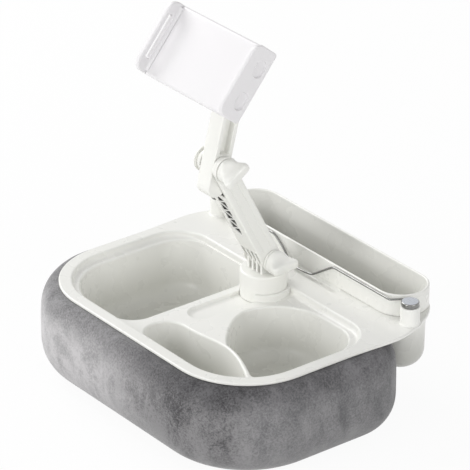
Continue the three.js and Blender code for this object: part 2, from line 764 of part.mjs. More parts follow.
// Wing knob: a round hub and a two-lobed paddle that stands on it, drawn at its pivot along +X
function knobGeometry() {
  const hub = crossRod(0, 0, knobHubRadius, knobFoot, knobFoot + knobHubLength);
  const root = knobFoot + knobHubLength - joinOverlap;
  const tip = knobFoot + knobHubLength + wingReach;
  const lobe = new THREE.Vector2(tip - wingLobe, wingHalfSpan - wingLobe);
  const outline = new THREE.Shape();
  outline.moveTo(root, -wingRootHalf);
  outline.quadraticCurveTo(root + wingWaist, -wingRootHalf - joinOverlap,
    tip - 2 * wingLobe, wingLobe / 9 - wingHalfSpan);
  outline.absarc(lobe.x, -lobe.y, wingLobe, -wingLobeTurn, 0);
  outline.quadraticCurveTo(tip - wingDish, 0, tip, lobe.y);
  outline.absarc(lobe.x, lobe.y, wingLobe, 0, wingLobeTurn);
  outline.quadraticCurveTo(root + wingWaist, wingRootHalf + joinOverlap, root, wingRootHalf);
  const paddle = slab(loop(outline, 5), -wingThickness / 2, wingThickness / 2);
  const bore = crossRod(0, 0, boltRadius + clearance, 0, boltEnd + clearance, 16);
  return cut(join(hub, paddle), bore);
}

pivotHardware('base', lowerLink, 0, baseDiscRadius);
pivotHardware('elbow', lowerLink, lowerArmLength, elbowDiscRadius);
const baseKnob = place(lowerLink, 'base_wing_knob', knobGeometry(), armWhite);
baseKnob.rotation.x = THREE.MathUtils.degToRad(baseWingAngle - lowerLean);
const elbowKnob = place(lowerLink, 'elbow_wing_knob', knobGeometry(), armWhite);
elbowKnob.position.z = lowerArmLength;
elbowKnob.rotation.x = THREE.MathUtils.degToRad(elbowWingAngle - lowerLean);

// Upper arm: an H-section bar that runs past the elbow in a round tail and ends in a ball socket
const socketTilt = THREE.MathUtils.degToRad(clampTilt - upperLean);

function socketCup() {
  const inner = ballRadius + ballClearance;
  const mouthTurn = THREE.MathUtils.degToRad(mouthAngle);
  const cup = new THREE.SphereGeometry(socketRadius, 14, 10).rotateX(socketTilt);
  const nose = new THREE.CylinderGeometry(socketRadius, socketRadius, lockRingLength, 24)
    .translate(0, -lockRingLength / 2, 0).rotateX(socketTilt);
  const bowl = new THREE.SphereGeometry(inner, 14, 10).rotateX(socketTilt);
  const mouthDepth = inner * Math.cos(mouthTurn);
  const mouthRadius = inner * Math.sin(mouthTurn);
  const mouth = new THREE.CylinderGeometry(mouthRadius, mouthRadius + mouthFlare, mouthFlare, 24)
    .translate(0, -mouthDepth - mouthFlare / 2, 0).rotateX(socketTilt);
  return { body: join(cup, nose), voids: [bowl, mouth] };
}

function upperArmGeometry() {
  const half = upperArmWidth / 2;
  const depth = upperArmDepth / 2;
  const neckStart = upperArmLength - socketRadius - neckStop;
  const bar = box(-half, half, -depth, depth, -upperArmTail + depth, neckStart);
  const tail = crossRod(0, -upperArmTail + depth, depth, -half, half);
  const neck = box(-half, half, neckFront, depth, neckStart - joinOverlap, upperArmLength - neckStop);
  const channels = [-1, 1].map((side) =>
    box(...ordered(side * (half - upperChannelDepth), side * (half + cutMargin)),
      -upperChannelWidth / 2, upperChannelWidth / 2, elbowDiscRadius, neckStart - channelStop));
  const bore = crossRod(0, 0, boltRadius + clearance, -armWidth, armWidth, 16);
  const { body, voids } = socketCup();
  const lifted = body.translate(0, 0, upperArmLength);
  const hollows = voids.map((v) => v.translate(0, 0, upperArmLength));
  return cut(join(bar, tail, neck, lifted), ...channels, bore, ...hollows);
}

place(upperLink, 'upper_arm', upperArmGeometry(), armWhite);

// Clamp frame: the origin is the ball's centre, -Y points through the stud to the tablet,
// and +Z is up the plate
const boss = (radius, length, sides) => new THREE.CylinderGeometry(radius, radius, length, sides);
const lockBore = socketRadius + clearance;
const lockRing = cut(
  boss(lockBore + lockRingWidth, lockRingLength, 24).translate(0, -lockRingLength / 2, 0),
  boss(lockBore, throughCut, 24));
place(clamp, 'ball_lock_ring', lockRing, armWhite);

const coverInner = -clampOffset - clampWall;
const studEnd = coverInner - clearance - nutThickness - clearance;
const stud = join(
  new THREE.SphereGeometry(ballRadius, 14, 10),
  boss(studRadius, -studEnd, 16).translate(0, studEnd / 2, 0));
place(clamp, 'ball_stud', stud, steel);
const studNut = cut(
  boss(nutRadius, nutThickness, 6).translate(0, coverInner - clearance - nutThickness / 2, 0),
  boss(studRadius + clearance, throughCut, 16).translate(0, coverInner, 0));
place(clamp, 'stud_nut', studNut, steel);

// Tablet clamp: a shell with its fixed jaw on the right, a rear cover and a sprung jaw on the left
const halfClamp = clampWidth / 2;
const halfHeight = clampHeight / 2;
const plateFront = -clampOffset - clampBody;
const jawFront = plateFront - jawRise;
const bodyLeft = -halfClamp + jawThickness + clearance;
const cavityFront = plateFront + clampWall;
const cavityLeft = bodyLeft + clampWall;
const cavityRight = halfClamp - clampWall;
const cavityHalf = halfHeight - clampWall;
const coverScrewX = cavityRight - coverScrewInset;
const rodSpread = cavityHalf - rodInset;
const coverScrewZ = rodSpread - coverScrewRodGap;
const tongueWidth = 2 * (rodSpread - springRadius - tongueSpare);
const tongueEnd = cavityRight - tongueEndInset;
const tongueBack = cavityFront + clearance + tongueThickness;
const rodY = tongueBack + clearance + springRadius - tongueThickness / 2;

const coverScrewPlaces = [-coverScrewZ, coverScrewZ];

function jawProfile() {
  return roundedRect(jawFront, -halfHeight, -clampOffset, halfHeight,
    jawCornerRadius, clampCornerRadius, clampCornerRadius, jawCornerRadius);
}

function clampBodyGeometry() {
  const corners = Array(4).fill(clampCornerRadius);
  const outline = roundedRect(plateFront, -halfHeight, -clampOffset, halfHeight, ...corners);
  const shell = sideSlab(outline, bodyLeft, halfClamp - joinOverlap);
  const jaw = sideSlab(jawProfile(), halfClamp - jawThickness, halfClamp);
  const cavity = box(cavityLeft, cavityRight, cavityFront, -clampOffset + cutMargin,
    -cavityHalf, cavityHalf);
  const slot = box(bodyLeft - cutMargin, cavityLeft + cutMargin, cavityFront, tongueBack + clearance,
    -tongueWidth / 2 - clearance, tongueWidth / 2 + clearance);
  const dimples = [-0.5, 0.5].map((share) =>
    crossRod((plateFront - clampOffset) / 2, share * dimpleSpacing, dimpleRadius,
      halfClamp - dimpleDepth, halfClamp + cutMargin, 20));
  const bossFoot = cavityFront - joinOverlap;
  const bossTop = coverInner - clearance;
  const bosses = coverScrewPlaces.map((z) =>
    boss(coverScrewRadius + bossWall, bossTop - bossFoot, 16)
      .translate(coverScrewX, (bossTop + bossFoot) / 2, z));
  const boreFoot = cavityFront + clearance;
  const boreTop = coverInner + cutMargin;
  const bossBores = coverScrewPlaces.map((z) =>
    boss(coverScrewRadius + clearance, boreTop - boreFoot, 12)
      .translate(coverScrewX, (boreTop + boreFoot) / 2, z));
  return cut(join(cut(join(shell, jaw), cavity), ...bosses), slot, ...dimples, ...bossBores);
}

place(clamp, 'clamp_body', clampBodyGeometry(), clampWhite);

const coverPlate = box(cavityLeft + clearance, cavityRight - clearance, coverInner, -clampOffset,
  -cavityHalf + clearance, cavityHalf - clearance);
const coverHoles = coverScrewPlaces.map((z) =>
  boss(coverScrewRadius + clearance, throughCut, 12).translate(coverScrewX, coverInner, z));
const studHole = boss(studRadius + clearance, throughCut, 16).translate(0, coverInner, 0);
place(clamp, 'clamp_rear_cover', cut(coverPlate, ...coverHoles, studHole), clampWhite);

const screwShank = [
  [0, coverScrewLength], [coverScrewRadius, coverScrewLength], [coverScrewRadius, coverHeadHeight],
  [coverHeadRadius, coverHeadHeight], [coverHeadRadius, 0], [0, 0],
].map(([r, y]) => new THREE.Vector2(r, -y));
[['upper', coverScrewZ], ['lower', -coverScrewZ]].forEach(([name, z]) => {
  const screw = new THREE.LatheGeometry(screwShank, 16);
  screw.translate(coverScrewX, -clampOffset + clearance + coverHeadHeight, z);
  place(clamp, `cover_screw_${name}`, screw, steel);
});

[['upper', rodSpread], ['lower', -rodSpread]].forEach(([name, z]) => {
  const guide = crossRod(rodY, z, rodRadius, cavityLeft + clearance, cavityRight - clearance, 12);
  place(clamp, `guide_rod_${name}`, guide, steel);
});

// Sliding jaw: the jaw, its tongue inside the shell and two lugs that ride on the rods
function slidingJawGeometry() {
  const jaw = sideSlab(jawProfile(), -halfClamp, -halfClamp + jawThickness);
  const slot = box(-halfClamp - cutMargin, -halfClamp + jawThickness + cutMargin,
    plateFront - jawSlotWidth, plateFront, -jawSlotLength / 2, jawSlotLength / 2);
  const tongue = box(-halfClamp + jawThickness - joinOverlap, tongueEnd,
    cavityFront + clearance, tongueBack, -tongueWidth / 2, tongueWidth / 2);
  const lug = box(tongueEnd - lugLength, tongueEnd, cavityFront + clearance, rodY + springRadius,
    -cavityHalf + clearance, cavityHalf - clearance);
  const relief = box(tongueEnd - lugLength - cutMargin, tongueEnd + cutMargin, tongueBack, 0,
    -tongueWidth / 2, tongueWidth / 2);
  const bores = [-rodSpread, rodSpread].map((z) =>
    crossRod(rodY, z, rodRadius + clearance, -halfClamp, halfClamp, 12));
  return cut(join(cut(jaw, slot), tongue, cut(lug, relief)), ...bores);
}

place(clamp, 'sliding_jaw', slidingJawGeometry(), clampWhite);

// A spring on each rod between the shell's left wall and the jaw's lug: one unbroken helix
class Helix extends THREE.Curve {
  constructor(radius, x0, x1, turns, y, z) {
    super();
    Object.assign(this, { radius, x0, x1, turns, y, z });
  }

  getPoint(t, target = new THREE.Vector3()) {
    const turn = 2 * Math.PI * this.turns * t;
    return target.set(this.x0 + (this.x1 - this.x0) * t,
      this.y + this.radius * Math.cos(turn), this.z + this.radius * Math.sin(turn));
  }
}

[['upper', rodSpread], ['lower', -rodSpread]].forEach(([name, z]) => {
  const middle = springRadius - springWire;
  const path = new Helix(middle, cavityLeft + clearance + springWire,
    tongueEnd - lugLength - clearance - springWire, springTurns, rodY, z);
  const section = new THREE.Shape(circle(0, 0, springWire, 5));
  const steps = springTurns * springTurnSteps;
  const spring = new THREE.ExtrudeGeometry(section, { steps, extrudePath: path, bevelEnabled: false });
  place(clamp, `clamp_spring_${name}`, spring, steel);
});

// The origin is the middle of the whole object's footprint, on the surface that it stands on
const frontY = -cushionBulge;
object.position.set(0, -(frontY + trayLength) / 2, cushionHeight - cushionTop);

export default object;
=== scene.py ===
"""Looks of the tablet cushion stand.

Pieces are worked out in millimetres and degrees, and stored in metres. Tray pieces use the tray's own frame:
X = 0 on the centre line, Y = 0 at the front edge, Z = 0 on the top of the rim. A link's pieces use a frame
at its pivot, with Z along the link and Y towards its back.
"""
import functools
import json
import math

import bmesh
import bpy
import numpy as np
from mathutils.geometry import delaunay_2d_cdt
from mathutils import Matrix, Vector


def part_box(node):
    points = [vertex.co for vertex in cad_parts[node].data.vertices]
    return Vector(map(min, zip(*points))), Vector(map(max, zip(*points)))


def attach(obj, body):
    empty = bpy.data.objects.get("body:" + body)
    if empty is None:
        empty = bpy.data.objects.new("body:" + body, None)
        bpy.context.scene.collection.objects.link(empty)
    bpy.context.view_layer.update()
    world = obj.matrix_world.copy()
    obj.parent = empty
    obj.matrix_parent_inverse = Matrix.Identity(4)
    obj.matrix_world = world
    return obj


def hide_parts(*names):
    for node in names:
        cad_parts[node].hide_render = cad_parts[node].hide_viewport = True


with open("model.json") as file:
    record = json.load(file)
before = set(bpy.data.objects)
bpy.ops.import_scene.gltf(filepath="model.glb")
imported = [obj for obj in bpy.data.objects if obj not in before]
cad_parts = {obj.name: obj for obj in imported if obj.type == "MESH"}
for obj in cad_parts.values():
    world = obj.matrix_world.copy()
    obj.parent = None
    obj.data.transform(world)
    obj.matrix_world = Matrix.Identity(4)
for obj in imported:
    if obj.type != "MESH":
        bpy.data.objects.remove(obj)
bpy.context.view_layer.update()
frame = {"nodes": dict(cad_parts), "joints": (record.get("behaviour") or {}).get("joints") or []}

# Camera: the photograph's viewing angle
view_azimuth = math.radians(52.19)
view_elevation = math.radians(26.83)
view_target = np.array([-0.096, 0.0781, 0.094])
view_distance = 3.5
view_lens = 279.1

# Stage: each lamp's place in metres and its power in watts
lamps = {"left": ((-2.15, -0.18, 1.83), 42), "front": ((0.22, -2.47, 0.93), 29),
         "right": ((2.48, 0.15, 0.68), 19)}
lamp_side = 1.6
surround_strength = 0.43
floor_reach = 30.0
floor_glow = 0.94

# Tray, millimetres
plate_thickness = 3.0
plate_low_round = 1.0
plate_high_round = 1.3
front_corner = 78.0
rear_bend = 79.0
rear_bend_side = 45.0
rear_bend_back = 28.0
rim_width = 15.5
rim_drawn_in = 2.6
rim_ease_start = 130.0
rim_ease_stop = 200.0
recess_depth = 6.5
recess_back = 178.0
recess_rear_corner = 35.0
recess_lip = 2.2
recess_draft = 0.1
recess_foot = (0.4, 4.0)
foot_share = 0.62
foot_gap = 0.3
lip_share = 0.3
divider_share = 0.46
well_ledge = 6.0
well_rear_ledge = 1.5
well_lip = (0.45, 2.2)
well_draft = 3.0
well_floor_radius = 16.0
divider_half = 23.0
large_well_depth = 62.0
large_well_corners = (56.5, 24.0, 27.0, 32.0)
bowl_depth = 58.0
crescent_depth = 50.0
crescent_floor_radius = 12.0
crescent_centre = (82.0, 78.0)
crescent_radius = 57.5
crescent_tip_angle = math.degrees(-0.72)
groove_half = 12.75
groove_front = 77.0
groove_depth = 10.0
groove_corner = 12.7
groove_reach = 4.5
groove_end_front = 132.0
swivel_y = 162.5
collar_radius = 22.5
collar_top = 17.5
collar_foot = -10.0
spigot_radius = 9.0
spigot_foot = -18.0
collar_gap = 0.3
bore_foot = -16.0
bore_top = -9.0
cut_top = 1.0
pedestal_radius = 25.6
pedestal_depth = 13.1
pedestal_round = 1.4
step_left = -27.0
step_right = -12.0
step_front = 120.0
step_past_swivel = 10.0
shell_wall = 1.5
tub_wall = 2.4
scoop_half = 55.0
scoop_back = 212.3
scoop_width = 10.0
scoop_depth = 3.4
scoop_wall = 1.1

# Lip, draft and foot of the tray's smaller pockets, and of their undersides
groove_bends = (1.2, 0.3, 2.2)
scoop_bends = (0.8, 0.6, 2.0)
tub_bends = (0.5, 0.2, 0.6)
groove_under_bends = (0.1, 0.2, 1.0)
scoop_under_bends = (0.1, 0.8, 2.2)
well_under_lip = 0.1

# Bin, posts and bail
bin_radius = 26.5
bin_half_run = 108.5
bin_y = 238.5
bin_rim = 22.0
bin_depth = 62.0
bin_wall = 2.6
bin_gap = 0.3
bin_draft = 0.6
bin_slope = 2.8
bin_floor_radius = 15.0
throat_radius = 24.0
post_x = 143.0
post_y = 220.5
post_radius = 9.2
post_height = 17.6
post_flare = 1.6
post_root = -2.0
cap_radius = 8.5
cap_low = 17.9
cap_high = 22.7
cap_chamfer = 0.6
cap_stem_radius = 2.6
cap_stem_length = 9.0
wire_radius = 1.04
wire_end = 138.45
wire_level = 20.3
wire_dip = 1.7
wire_run_y = 210.0
wire_pull = 5.0

# Where the wire's ramps start and stop along |x|, and how softly they bend
wire_step_ramp = (126.4, 132.6, 0.55)
wire_pull_ramp = (2.0, 30.0, 3.0)
wire_dip_ramp = (16.0, 44.0, 1.3)

# Cushion
cushion_back = 193.0
cushion_rear_corner = 40.0
cushion_top = -3.3
cushion_height = 90.7
cushion_bulge = 15.0
cushion_tuck = 12.0
cushion_tuck_power = 6.0
cushion_foot = 35.0
cover_lip = 9.0
cover_thickness = 3.0
foam_gap = 1.5

# Swell of the cover and mesh of the filling, metres
swell_frames = 20
swell_limit = 0.005
mouth_held = 0.003
base_held = 0.004
foam_base = 0.004
foam_voxel = 0.0035

# Arm
arm_radius = 11.0
arm_half = 14.0
arm_round = 1.9
ear_inner = 11.55
lower_length = 124.5
pivot_height = 30.0
comb_plate = 2.6
comb_pitch = 6.5
comb_foot = 15.0
comb_round = 0.4
web_start = 30.0
web_stop = 93.5
web_foot = 18.0
web_half = 12.0
web_corner = 0.5
web_round = 0.2
web_thickness = 2.5
web_inset = 0.05
bridge_height = 3.0
bridge_inset = 0.3
fork_inner = 9.7
fork_outer = 12.2
side_groove_y = 4.4
side_groove_half = 0.6
side_groove_start = 15.0
side_groove_stop = 108.0
side_groove_corner = 0.55
lattice_top = 91.0
lattice_length = 48.0
lattice_half = 5.8
lattice_shift = -2.0
lattice_bar = 1.3
lattice_slant = 1.6
lattice_web = 1.2
lattice_cells = 8
# A dark sheet behind the lattice: painted shade for the hollow inside the arm
shade_sheet_half = 11.2
shade_sheet_back = 8.4
shade_sheet_front = 9.6
upper_half = 9.2
upper_radius = 10.1
upper_tail = 30.0
upper_round = 1.3
channel_half = 5.5
channel_start = 12.4
channel_stop = 59.0
neck_start = 65.0
neck_stop = 79.0
neck_front = -2.0
neck_inset = 0.8
socket_ball = 13.0
socket_shoulder = -134 / 15
socket_nose = 6.0
socket_mouth = 9.4
cup_radius = 9.3
cup_edge = 25.0
elbow_disc = 12.4
base_disc = 11.2
washer_bore = 3.2
washer_low = 14.3
washer_high = 16.5
nut_cap_brim = 3.0
nut_cap_seat = 14.05
nut_cap_low = 15.3
nut_cap_side = 17.6
nut_cap_top = 18.5
base_wing_turn = 3.0
elbow_wing_turn = 32.0
knob_seat = 16.8
knob_sides = 28
wing_start = 6.0
wing_dish = 0.9
dish_start = 12.0
dish_run = 7.0
wing_half = 14.6

# Clamp, in its own frame at the ball: -Y towards the tablet, Z up the plate
clamp_half = 64.0
clamp_half_height = 35.75
clamp_back = -28.0
clamp_corner = 3.0
clamp_round = 0.8
plate_front = -43.0
plate_wall = 2.5
body_left = -58.7
cavity_left = -56.2
cavity_right = 56.5
cavity_half = 33.2
gate_front = -40.0
gate_back = -30.8
gate_half = 28.0
gate_right = -55.0
jaw_front = -57.0
jaw_inner = 59.0
jaw_corner = 10.0
jaw_round = 1.3
jaw_cove = 2.8
jaw_run_gap = 0.25
jaw_toe = 0.35
runner_gap = 1.0
runner_left = -60.0
runner_right = -36.0
slot_front = -52.4
slot_back = -46.6
slot_half = 23.0
slot_corner = 2.6
dimple_front = -45.0
dimple_back = -32.6
dimple_half = 8.8
dimple_corner = 6.1
dimple_z = 16.5
cover_gap = 0.3
cover_thick = 2.3
stud_hole = 6.5
ring_inner = 13.3
ring_outer = 15.9
ring_length = 6.0
ring_flutes = 30
ring_flute_depth = 0.5

# Depth, lip, foot and reach of the pockets in slabs
side_groove_bends = (0.4, 0.2, 0.1, 0.1)
channel_bends = (7.0, 0.5, 0.8, 0.8)
dimple_bends = (3.4, 0.5, 3.0, 5.4)
pocket_draft = 0.1

# Fineness of rounded edges
edge_steps = 5
support = 0.08
around = 64
hole_lip = 0.4


def row_box(node):
    """A node's lowest and highest corners, in millimetres."""
    return [np.array(corner) * 1000 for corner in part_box(node)]


tray_low, tray_high = row_box("tray")
tray_half = (tray_high[0] - tray_low[0]) / 2
tray_length = tray_high[1] - tray_low[1]
tray_origin = np.array([0, tray_low[1], tray_high[2] - post_height])
joints = {entry["name"]: entry for entry in frame["joints"]}
base_pivot, elbow_pivot, ball_pivot = (
    np.array(joints[name]["pos_m"]) * 1000 for name in ("lower_tilt", "upper_tilt", "ball_tilt"))
clamp_aim = np.array(joints["clamp_roll"]["axis"])


# Outlines

def arc(centre, radius, start, stop, count=20):
    """Points on a circle: centre + radius * (cos a, sin a), for a from start to stop in degrees."""
    turn = np.radians(np.linspace(start, stop, count))
    return np.array(centre, float) + radius * np.stack([np.cos(turn), np.sin(turn)], 1)


def bezier(a, b, c, d, count=20):
    """The cubic a(1-t)^3 + 3b(1-t)^2 t + 3c(1-t)t^2 + d t^3."""
    t = np.linspace(0, 1, count)[:, None]
    a, b, c, d = (np.array(point, float) for point in (a, b, c, d))
    return a * (1 - t) ** 3 + 3 * b * (1 - t) ** 2 * t + 3 * c * (1 - t) * t ** 2 + d * t ** 3


def quarter(count):
    """A quarter turn in even steps, as pairs (1 - sin a, 1 - cos a): from (1, 0) to (0, 1)."""
    turn = np.linspace(0, np.pi / 2, count)
    return np.stack([1 - np.sin(turn), 1 - np.cos(turn)], 1)


def eased(share):
    """The smooth step 3t^2 - 2t^3."""
    return share ** 2 * (3 - 2 * share)


def closed(*stretches, step=5.0):
    """One loop from stretches laid end to end: doubled points go, and a long edge is split evenly."""
    points = np.concatenate([np.array(stretch, float) for stretch in stretches])
    points = points[np.linalg.norm(points - np.roll(points, 1, 0), axis=1) > 1e-4]
    edge = np.roll(points, -1, 0) - points
    parts = np.ceil(np.linalg.norm(edge, axis=1) / step).astype(int)
    start = np.repeat(np.arange(len(points)), parts)
    within = np.arange(len(start)) - np.repeat(np.cumsum(parts) - parts, parts)
    return points[start] + edge[start] * (within / parts[start])[:, None]


def box_loop(left, front, right, back, corners, step=5.0):
    """A rectangle with its corners rounded, alike or each by its own: front left, front right, back right,
    back left."""
    fl, fr, br, bl = np.broadcast_to(corners, 4)
    return closed(arc((left + fl, front + fl), fl, 180, 270), arc((right - fr, front + fr), fr, 270, 360),
                  arc((right - br, back - br), br, 0, 90), arc((left + bl, back - bl), bl, 90, 180),
                  step=step)


def upright_box(half, low, high, corners, step=5.0):
    """A rounded rectangle that reaches as far to the left as to the right."""
    return box_loop(-half, low, half, high, corners, step)


def level_box(front, back, half, corners, step=5.0):
    """A rounded rectangle that reaches as far down as up."""
    return box_loop(front, -half, back, half, corners, step)


def tongue(radius, centre, flat, half):
    """A strip with a half-round end about the centre and a flat end of its own half width."""
    side = 1 if centre > flat else -1
    end = arc((0, centre), radius, 90 - 90 * side, 270 - 90 * side, 40)
    return closed(end, [(-side * half, flat), (side * half, flat)], step=4)


def pill(half, front, back):
    """A band with half-round ends, from front to back."""
    radius = (back - front) / 2
    middle = (front + back) / 2
    return closed(arc((half - radius, middle), radius, -90, 90, 32),
                  arc((radius - half, middle), radius, 90, 270, 32))


def offset(loop, distance):
    """Each point moved outwards along the mean of its two edges' normals, so that the edges stay parallel."""
    edge = np.roll(loop, -1, 0) - loop
    edge = edge / np.linalg.norm(edge, axis=1)[:, None]
    after = np.stack([edge[:, 1], -edge[:, 0]], 1)
    before = np.roll(after, 1, 0)
    reach = distance / (1 + (after * before).sum(1))
    return loop + (after + before) * reach[:, None]


def inset(loop, distance):
    """The loop moved inwards, its edges kept parallel."""
    return offset(loop, -distance)


def shrink(loop, distance):
    """The loop scaled about the middle of its box, so that each side of the box moves in by the distance."""
    low, high = loop.min(0), loop.max(0)
    return (low + high) / 2 + (loop - (low + high) / 2) * (1 - 2 * distance / (high - low))


def spacing(loop, other):
    """Each point's distance to the other loop's nearest edge."""
    start = other[None]
    along = (np.roll(other, -1, 0) - other)[None]
    share = ((loop[:, None] - start) * along).sum(2) / (along ** 2).sum(2)
    foot = start + along * np.clip(share, 0, 1)[..., None]
    return np.linalg.norm(loop[:, None] - foot, axis=2).min(1)


def inside(points, loop):
    """Whether each point lies in the loop: a line to its right crosses the loop an odd number of times."""
    x, y = points[:, :1], points[:, 1:]
    ax, ay = loop.T
    bx, by = np.roll(loop, -1, 0).T
    rise = np.where(by == ay, 1e-12, by - ay)
    crossed = ((ay > y) != (by > y)) & (x < ax + (y - ay) * (bx - ax) / rise)
    return crossed.sum(1) % 2 == 1


def ring(loop, level):
    """A flat loop lifted to a level, which may differ from point to point."""
    return np.column_stack([loop, np.broadcast_to(level, len(loop))])


# Surfaces

class Skin:
    """Grids and flats gathered in millimetres until they become one mesh."""

    def __init__(self):
        self.points = np.zeros((0, 3))
        self.faces = []

    def add(self, points, faces):
        """Takes points with the faces between them."""
        self.faces += (faces + len(self.points)).tolist()
        self.points = np.concatenate([self.points, points])
        return self

    def join(self, other):
        """Takes another skin's points and faces."""
        self.faces += [[corner + len(self.points) for corner in face] for face in other.faces]
        self.points = np.concatenate([self.points, other.points])
        return self

    def strip(self, rings, flip=False):
        """Quads between each closed ring and the next."""
        rings = np.array(rings)
        rows, columns = rings.shape[:2]
        ids = np.arange(rows * columns).reshape(rows, columns)
        low, high = ids[:-1], ids[1:]
        quads = np.stack([low, np.roll(low, -1, 1), np.roll(high, -1, 1), high], -1).reshape(-1, 4)
        return self.add(rings.reshape(-1, 3), quads[:, ::-1] if flip else quads)

    def flat(self, level, outer, holes=(), flip=False):
        """The flat between an outer loop and its holes, cut into triangles."""
        loops = [outer, *holes]
        ends = np.cumsum([len(loop) for loop in loops])
        runs = [np.arange(end - len(loop), end) for loop, end in zip(loops, ends)]
        edges = np.concatenate([np.stack([run, np.roll(run, -1)], 1) for run in runs])
        found, _, corners, *_ = delaunay_2d_cdt(np.concatenate(loops).tolist(), edges.tolist(), [], 0, 1e-6)
        found, corners = np.array(found), np.array(corners)
        middle = found[corners].mean(1)
        keep = inside(middle, outer)
        for hole in holes:
            keep &= ~inside(middle, hole)
        corners = corners[keep]
        return self.add(ring(found, level), corners[:, ::-1] if flip else corners)

    def moved(self, place):
        """The same skin with its points put through a placing function."""
        self.points = place(self.points)
        return self


def edge_rings(outline, low, high, low_round, high_round):
    """A wall from low to high whose two edges turn over on quarter circles onto the flats."""
    bend = quarter(edge_steps + 1)
    rows = [ring(offset(outline, -low_round - support), low)]
    rows += [ring(offset(outline, -low_round * draw), low + low_round * rise) for draw, rise in bend]
    rows += [ring(offset(outline, -high_round * draw), high - high_round * rise) for draw, rise in bend[::-1]]
    rows += [ring(offset(outline, -high_round - support), high)]
    return rows


def sink(skin, loop, top, floor, lip, draft, foot, filled=True, flip=False, inner=shrink, reach=None):
    """A pocket carried round a loop: a quarter circle over the lip, a drafted wall, a quarter ellipse into
    the floor, foot high and reach wide. The loop draws in down the wall. Gives the mouth left open above and
    the bed of the floor."""
    bend = quarter(edge_steps + 3)
    reach = foot if reach is None else reach
    mouth = offset(loop, lip + support)
    bed = inner(loop, draft + reach + support)
    rows = [ring(mouth, top)]
    rows += [ring(offset(loop, lip * draw), top - lip * drop) for draw, drop in bend]
    rows += [ring(inner(loop, draft + reach * draw), floor + foot * rise) for rise, draw in bend]
    rows += [ring(bed, floor)]
    skin.strip(rows, flip)
    if filled:
        skin.flat(floor, bed, flip=flip)
    return mouth, bed


def slab(outline, low, high, bevel, holes=(), pockets=(), low_pockets=(), low_bevel=None):
    """An outline carried from low to high with rounded edges, with through holes, and with pockets sunk into
    its high and low faces as (loop, depth, lip, foot, reach)."""
    skin = Skin()
    rows = edge_rings(outline, low, high, bevel if low_bevel is None else low_bevel, bevel)
    skin.strip(rows)
    high_mouths, low_mouths = [], []
    hole_round = min(bevel, hole_lip)
    bend = hole_round * quarter(edge_steps + 1)
    for loop in holes:
        mouth = offset(loop, hole_round + support)
        wall = [ring(mouth, high)]
        wall += [ring(offset(loop, draw), high - drop) for draw, drop in bend]
        wall += [ring(offset(loop, draw), low + rise) for draw, rise in bend[::-1]]
        wall += [ring(mouth, low)]
        skin.strip(wall)
        high_mouths.append(mouth)
        low_mouths.append(mouth)
    for loop, depth, lip, foot, reach in pockets:
        high_mouths.append(sink(skin, loop, high, high - depth, lip, pocket_draft, foot, reach=reach)[0])
    for loop, depth, lip, foot, reach in low_pockets:
        turned = Skin()
        mouth, _ = sink(turned, loop, -low, -low - depth, lip, pocket_draft, foot, flip=True, reach=reach)
        low_mouths.append(mouth)
        skin.join(turned.moved(lambda p: p * [1, 1, -1]))
    skin.flat(high, rows[-1][:, :2], high_mouths)
    skin.flat(low, rows[0][:, :2], low_mouths, flip=True)
    return skin


def lathe(profile, count=around, flutes=0, flute_depth=0.0):
    """A profile of (radius, height) turned about the height axis. Flutes draw the radius in by a cosine."""
    radius, height = np.array(profile, float).T
    turn = np.linspace(0, 2 * np.pi, count, endpoint=False)
    reach = radius[:, None] - flute_depth * (0.5 - 0.5 * np.cos(flutes * turn)) * (radius[:, None] > 1)
    rings = np.stack([reach * np.cos(turn), reach * np.sin(turn), np.repeat(height[:, None], count, 1)], -1)
    return Skin().strip(rings)


def rod(radius, low, high):
    """A plain round bar."""
    return lathe([(0, low), (radius, low), (radius, high), (0, high)])


def rounded_profile(corners):
    """A profile through corners given as (radius, height, round): each corner with a round is cut back by it
    along both edges and bridged by a quadratic curve."""
    points = np.array([corner[:2] for corner in corners], float)
    cut = np.array([corner[2] for corner in corners], float)
    before = np.roll(points, 1, 0) - points
    after = np.roll(points, -1, 0) - points
    before = points + before / np.maximum(np.linalg.norm(before, axis=1), 1e-9)[:, None] * cut[:, None]
    after = points + after / np.maximum(np.linalg.norm(after, axis=1), 1e-9)[:, None] * cut[:, None]
    t = np.linspace(0, 1, edge_steps + 2)[:, None]
    bends = [(1 - t) ** 2 * b + 2 * t * (1 - t) * p + t ** 2 * a if c else p[None]
             for b, p, a, c in zip(before, points, after, cut)]
    return np.concatenate(bends)


def looped_profile(corners):
    """A rounded profile that closes on itself, clear of the axis."""
    profile = rounded_profile(corners)
    return np.concatenate([profile, profile[:1]])


def tube(path, radius, count=16):
    """A circle carried along a path, square to it, with flat ends."""
    along = np.gradient(path, axis=0)
    along /= np.linalg.norm(along, axis=1)[:, None]
    side = np.cross(along, [0, 0, 1.0])
    side /= np.linalg.norm(side, axis=1)[:, None]
    up = np.cross(side, along)
    turn = np.linspace(0, 2 * np.pi, count, endpoint=False)
    circle = side[:, None] * np.cos(turn)[:, None] + up[:, None] * np.sin(turn)[:, None]
    ends = [path[:1, None] + circle[:1] * 0, path[-1:, None] + circle[-1:] * 0]
    rings = np.concatenate([ends[0], path[:, None] + circle * radius, ends[1]])
    return Skin().strip(rings, flip=True)


# Places

def on_tray(points):
    """Tray frame to row."""
    return points + tray_origin


def on_tray_at(x, y):
    """A placing function for a piece made about an axis that stands on the tray at x, y."""
    return lambda points: on_tray(points + [x, y, 0])


def on_link(pivot, lean, points):
    """A link's frame to row: turned about X by its lean, then moved to its pivot."""
    c, s = math.cos(lean), math.sin(lean)
    return points @ np.array([[1, 0, 0], [0, c, s], [0, -s, c]]) + pivot


def across(points):
    """Stands a slab or a lathe along X: its plane becomes Y and Z."""
    return points[:, [2, 0, 1]]


